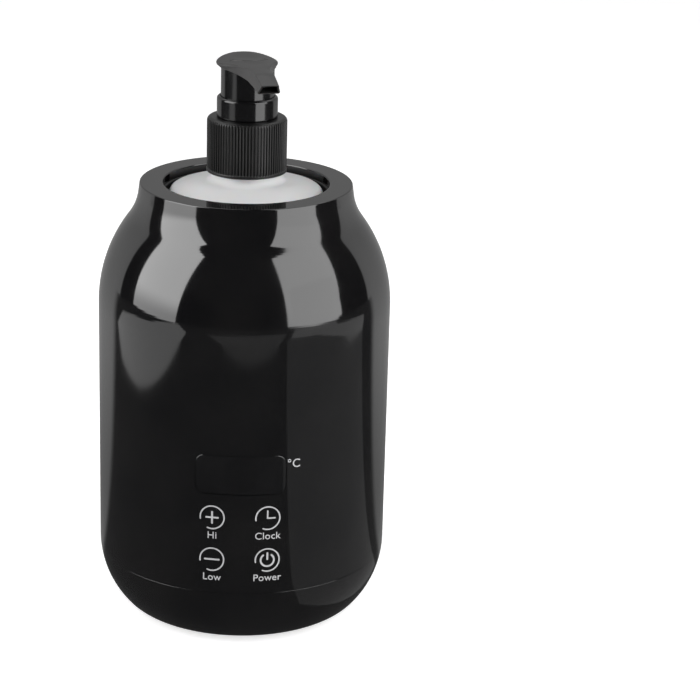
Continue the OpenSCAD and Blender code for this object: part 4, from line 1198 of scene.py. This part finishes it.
CAMERA_LENS = 120.24
CAMERA_DISTANCE = 811.0
CAMERA_ELEVATION = 18.89
CAMERA_AIM_Z = 92.25
CAMERA_PAN = 2.59
CAMERA_ROLL = 0.74
CAMERA_TURN = 0.8
# Glowing tent round the stage: a painted reflection of the studio, dark in front and pale round the sides,
# back and high up.
TENT_R = 1.2
BACKDROP_TURN = 111.0
BACKDROP_END = 0.95
BACKDROP_PALE = (0.75, 0.36)
BACKDROP_EDGE = 0.012
TENT_H = 3.0
TENT_DARK = 0.012
TENT_HIGH_Z = (0.8, 1.5)
TENT_HIGH = (1.0, 3.4)
# Floor card: a painted reflection of the floor, dark in front, with painted shadow close to the object.
CARD_DARK = 0.06
CARD_SOFT = 0.13
CARD_NEAR = (0.08, 0.36)
CARD_SHADOW_LEVEL = (0.4, 1.0)
FLOOR_REACH = 12.0
FLOOR_WHITE = 0.66
WORLD_LEVEL = 0.32
WORLD_WHITE = 0.68
SENSOR_WIDTH = 36
LAMP_LEVEL = 3.5
CLOTH_Z = (0.06, 0.3)
CLOTH_GAP = 0.002
# Glowing card beside the pump that only the gloss shows: a painted highlight on the collar, skirt and cap
# ribs.
PUMP_CARD_R = 0.13
PUMP_CARD_TURNS = (31, 67)
PUMP_CARD_Z = (0.11, 0.165)
# Painted pools of light: glowing patches on the floor that only the gloss shows, each with its strength and
# corners.
PAINTED_LIGHT_POOLS = (
    ("painted_pool_left", 1.05, ((-0.268, -0.254), (-0.405, -0.442), (-0.85, -0.71), (-0.857, -0.475),
                          (-0.667, -0.18), (-0.67, 0.012), (-0.58, 0.144), (-0.34, 0.124), (-0.305, 0.07),
                          (-0.285, -0.035))),
    ("painted_pool_front", 0.26, ((-0.09, -0.357), (0.16, -0.331), (0.376, -0.6), (0.2, -0.655), (0, -0.668),
                           (-0.28, -0.577))),
    ("painted_pool_right", 0.65, ((0.36, 0.064), (0.354, -0.03), (0.39, -0.164), (0.42, -0.288), (0.288, -0.411),
                           (0.6, -0.75), (0.79, -0.53), (0.92, -0.27), (0.7, -0.2), (0.681, -0.006),
                           (0.616, 0.142))),
    ("painted_pool_near", 0.22, ((0.032, -0.051), (0.25, -0.4), (0.288, -0.411), (0.42, -0.288), (0.39, -0.164),
                          (0.354, -0.03), (0.36, 0.064), (0.06, 0.015))),
)


def placed(x, y, z, place):
    """A frame with these axes, at a place."""
    matrix = Matrix((x, y, z)).transposed().to_4x4()
    matrix.translation = place
    return matrix


def camera():
    tilt = math.radians(CAMERA_ELEVATION)
    pan = math.radians(CAMERA_PAN)
    roll = math.radians(CAMERA_ROLL)
    forward = Vector((0, math.cos(tilt), -math.sin(tilt)))
    level_right = Vector((1, 0, 0))
    level_up = Vector((0, math.sin(tilt), math.cos(tilt)))
    right = level_right * math.cos(roll) + level_up * math.sin(roll)
    up = level_up * math.cos(roll) - level_right * math.sin(roll)
    look = forward * math.cos(pan) + right * math.sin(pan)
    side = right * math.cos(pan) - forward * math.sin(pan)
    data = bpy.data.cameras.new("camera")
    data.lens = CAMERA_LENS
    data.sensor_width = SENSOR_WIDTH
    eye = linked("camera", data)
    place = (Vector((0, 0, CAMERA_AIM_Z)) - forward * CAMERA_DISTANCE) * MM
    eye.matrix_world = Matrix.Rotation(math.radians(CAMERA_TURN), 4, "Z") @ placed(side, up, -look, place)
    bpy.context.scene.camera = eye


def softbox(name, turn, low, height, width, lean, tilt, cloth):
    """A tall lamp a metre from the axis. turn is its bearing from the front, lean draws its top in, and cloth
    gives the levels, low and high up, that its reflection shows."""
    bearing = math.radians(turn)
    out = Vector(around(1, bearing, 0))
    side = Vector((math.cos(bearing), math.sin(bearing), 0))
    top = Vector((0, 0, 1))
    lean = math.radians(lean)
    tilt = math.radians(tilt)
    rise = top * math.cos(lean) - out * math.sin(lean)
    back = out * math.cos(lean) + top * math.sin(lean)
    up = rise * math.cos(tilt) + side * math.sin(tilt)
    across = side * math.cos(tilt) - rise * math.sin(tilt)
    centre = out + top * low + up * height / 2
    data = bpy.data.lights.new(name, "AREA")
    data.shape = "RECTANGLE"
    data.size = width
    data.size_y = height
    data.energy = LAMP_LEVEL * math.pi * width * height
    lamp = linked(name, data)
    lamp.matrix_world = placed(across, up, back, centre)

    def cloth_level(tree):
        return between(tree, place_along(tree, "Z"), *CLOTH_Z, *cloth)

    half = across * width / 2
    foot = centre - up * height / 2 - back * CLOTH_GAP
    corners = [foot - half, foot + half, foot + half + up * height, foot - half + up * height]
    gloss_card(name + "_cloth", corners, cloth_level)


def stage_object(name, verts, material, faces=None):
    """A piece of the stage: the given faces, or one face round all its corners."""
    mesh = bpy.data.meshes.new(name)
    mesh.from_pydata(verts, [], faces or [tuple(range(len(verts)))])
    mesh.materials.append(material)
    piece = linked(name, mesh)
    return piece


def gloss_card(name, verts, level, faces=None):
    """A glowing piece of the stage that only the gloss shows."""
    piece = stage_object(name, verts, glow_material(name, level), faces)
    piece.visible_camera = False
    piece.visible_diffuse = False
    piece.visible_transmission = False
    piece.visible_volume_scatter = False
    piece.visible_shadow = False


def glow_material(name, level):
    """A material that only glows. level is its strength, or a function that makes it in the node tree."""
    material = bpy.data.materials.new(name)
    material.use_nodes = True
    tree = material.node_tree
    tree.nodes.clear()
    glow = add_node(tree, "ShaderNodeEmission", {"Strength": level(tree) if callable(level) else level})
    add_node(tree, "ShaderNodeOutputMaterial", {"Surface": glow.outputs["Emission"]})
    return material


def painted_surround_glow(tree, dark, level, away, soft):
    """A glow strength that is dark in front and pale from the sides round to the back: a painted reflection
    of the studio, for cards that only the gloss shows.
    """
    share = reckon(tree, "DIVIDE", place_along(tree, "Y"), away)
    start = -math.cos(math.radians(BACKDROP_TURN))
    pale = between(tree, share, start, BACKDROP_END, *BACKDROP_PALE)
    blend = add_node(tree, "ShaderNodeMix", {
        "Factor": between(tree, share, start - BACKDROP_EDGE, start + soft, 0, 1),
        "A": dark,
        "B": reckon(tree, "MULTIPLY", pale, level),
    })
    return blend.outputs["Result"]


def tent_level(tree):
    """The glow of the tent round the stage, which only the gloss shows: a painted reflection of the studio,
    paler high up.
    """
    high = between(tree, place_along(tree, "Z"), *TENT_HIGH_Z, *TENT_HIGH)
    return painted_surround_glow(tree, TENT_DARK, high, TENT_R, BACKDROP_EDGE)


def card_level(tree):
    """The glow of the floor card, which only the gloss shows: a painted reflection of the floor, with painted
    shadow that makes it darker close to the object.
    """
    away = distance(tree)
    near = between(tree, away, *CARD_NEAR, *CARD_SHADOW_LEVEL)
    return painted_surround_glow(tree, CARD_DARK, near, away, CARD_SOFT)


def camera_white(tree, amount):
    """A strength for what the camera sees, straight or in gloss and glass, and nothing elsewhere."""
    path = add_node(tree, "ShaderNodeLightPath", {}).outputs
    seen = reckon(tree, "MAXIMUM", path["Is Camera Ray"], path["Is Glossy Ray"])
    through = reckon(tree, "MAXIMUM", seen, path["Is Transmission Ray"])
    return reckon(tree, "MULTIPLY", through, amount)


def studio():
    white = (1, 1, 1, 1)
    tree, shader = moulded("floor", (0.80, 0.80, 0.80), (0.82, 0.82, 0.82), (0.85, 0.95), 300.0, specular=0.1)
    feed(tree, shader, {"Emission Color": white, "Emission Strength": camera_white(tree, FLOOR_WHITE)})
    reach = FLOOR_REACH
    corners = [(-reach, -reach, 0), (reach, -reach, 0), (reach, reach, 0), (-reach, reach, 0)]
    stage_object("floor", corners, MATERIALS["floor"])
    world = bpy.data.worlds.new("world")
    world.use_nodes = True
    tree = world.node_tree
    level = reckon(tree, "ADD", camera_white(tree, WORLD_WHITE), WORLD_LEVEL)
    feed(tree, tree.nodes["Background"], {"Color": white, "Strength": level})
    bpy.context.scene.world = world
    softbox("softbox_left", -72.7, 0.02, 1.02, 0.738, 14, 2.6, (2.9, 5.5))
    softbox("softbox_right", 54.9, 0.0, 0.947, 0.784, 20, 4.6, (3.5, 3.7))
    painted_reflection_cards()


def painted_reflection_cards():
    """A glowing tent round the stage and glowing cards on the floor and beside the pump, which only the gloss
    shows: painted reflections of the studio, painted pools of light and shadow on the floor, and a painted
    highlight on the pump.
    """
    sides = 96
    card_r = TENT_R + 0.05
    card_z = 0.0004
    pool_z = 0.0008
    turns = [2 * math.pi * i / sides for i in range(sides)]

    def ring(radius, z):
        return [around(radius, turn, z) for turn in turns]

    faces = [(i, (i + 1) % sides, sides + (i + 1) % sides, sides + i) for i in range(sides)]
    faces.append(tuple(range(sides, 2 * sides)))
    # Painted reflection of the studio: a glowing tent that only the gloss shows.
    gloss_card("tent", ring(TENT_R, 0) + ring(TENT_R, TENT_H), tent_level, faces)
    # Painted reflection of the floor, with painted shadow near the object, seen only in the gloss.
    gloss_card("floor_card", ring(card_r, card_z), card_level)
    # Painted pools of light on the floor, seen only in the gloss.
    for name, level, corners in PAINTED_LIGHT_POOLS:
        gloss_card(name, [(x, y, pool_z) for x, y in corners], level)
    # Painted highlight: a card glowing at the lamps' level beside the pump, seen only in the gloss.
    start, end = map(math.radians, PUMP_CARD_TURNS)
    low_z, high_z = PUMP_CARD_Z
    corners = ((start, low_z), (end, low_z), (end, high_z), (start, high_z))
    gloss_card("pump_highlight_card", [around(PUMP_CARD_R, turn, z) for turn, z in corners], LAMP_LEVEL)


bpy.context.scene.view_settings.view_transform = "Standard"
make_materials()
camera()
outer_shell()
display_lens()
base_bowl()
warm_well()
panel_marks()
pump_bottle()
ribbed_cap()
collar_ring()
pump_head()
return_coil()
dress_cad()
studio()
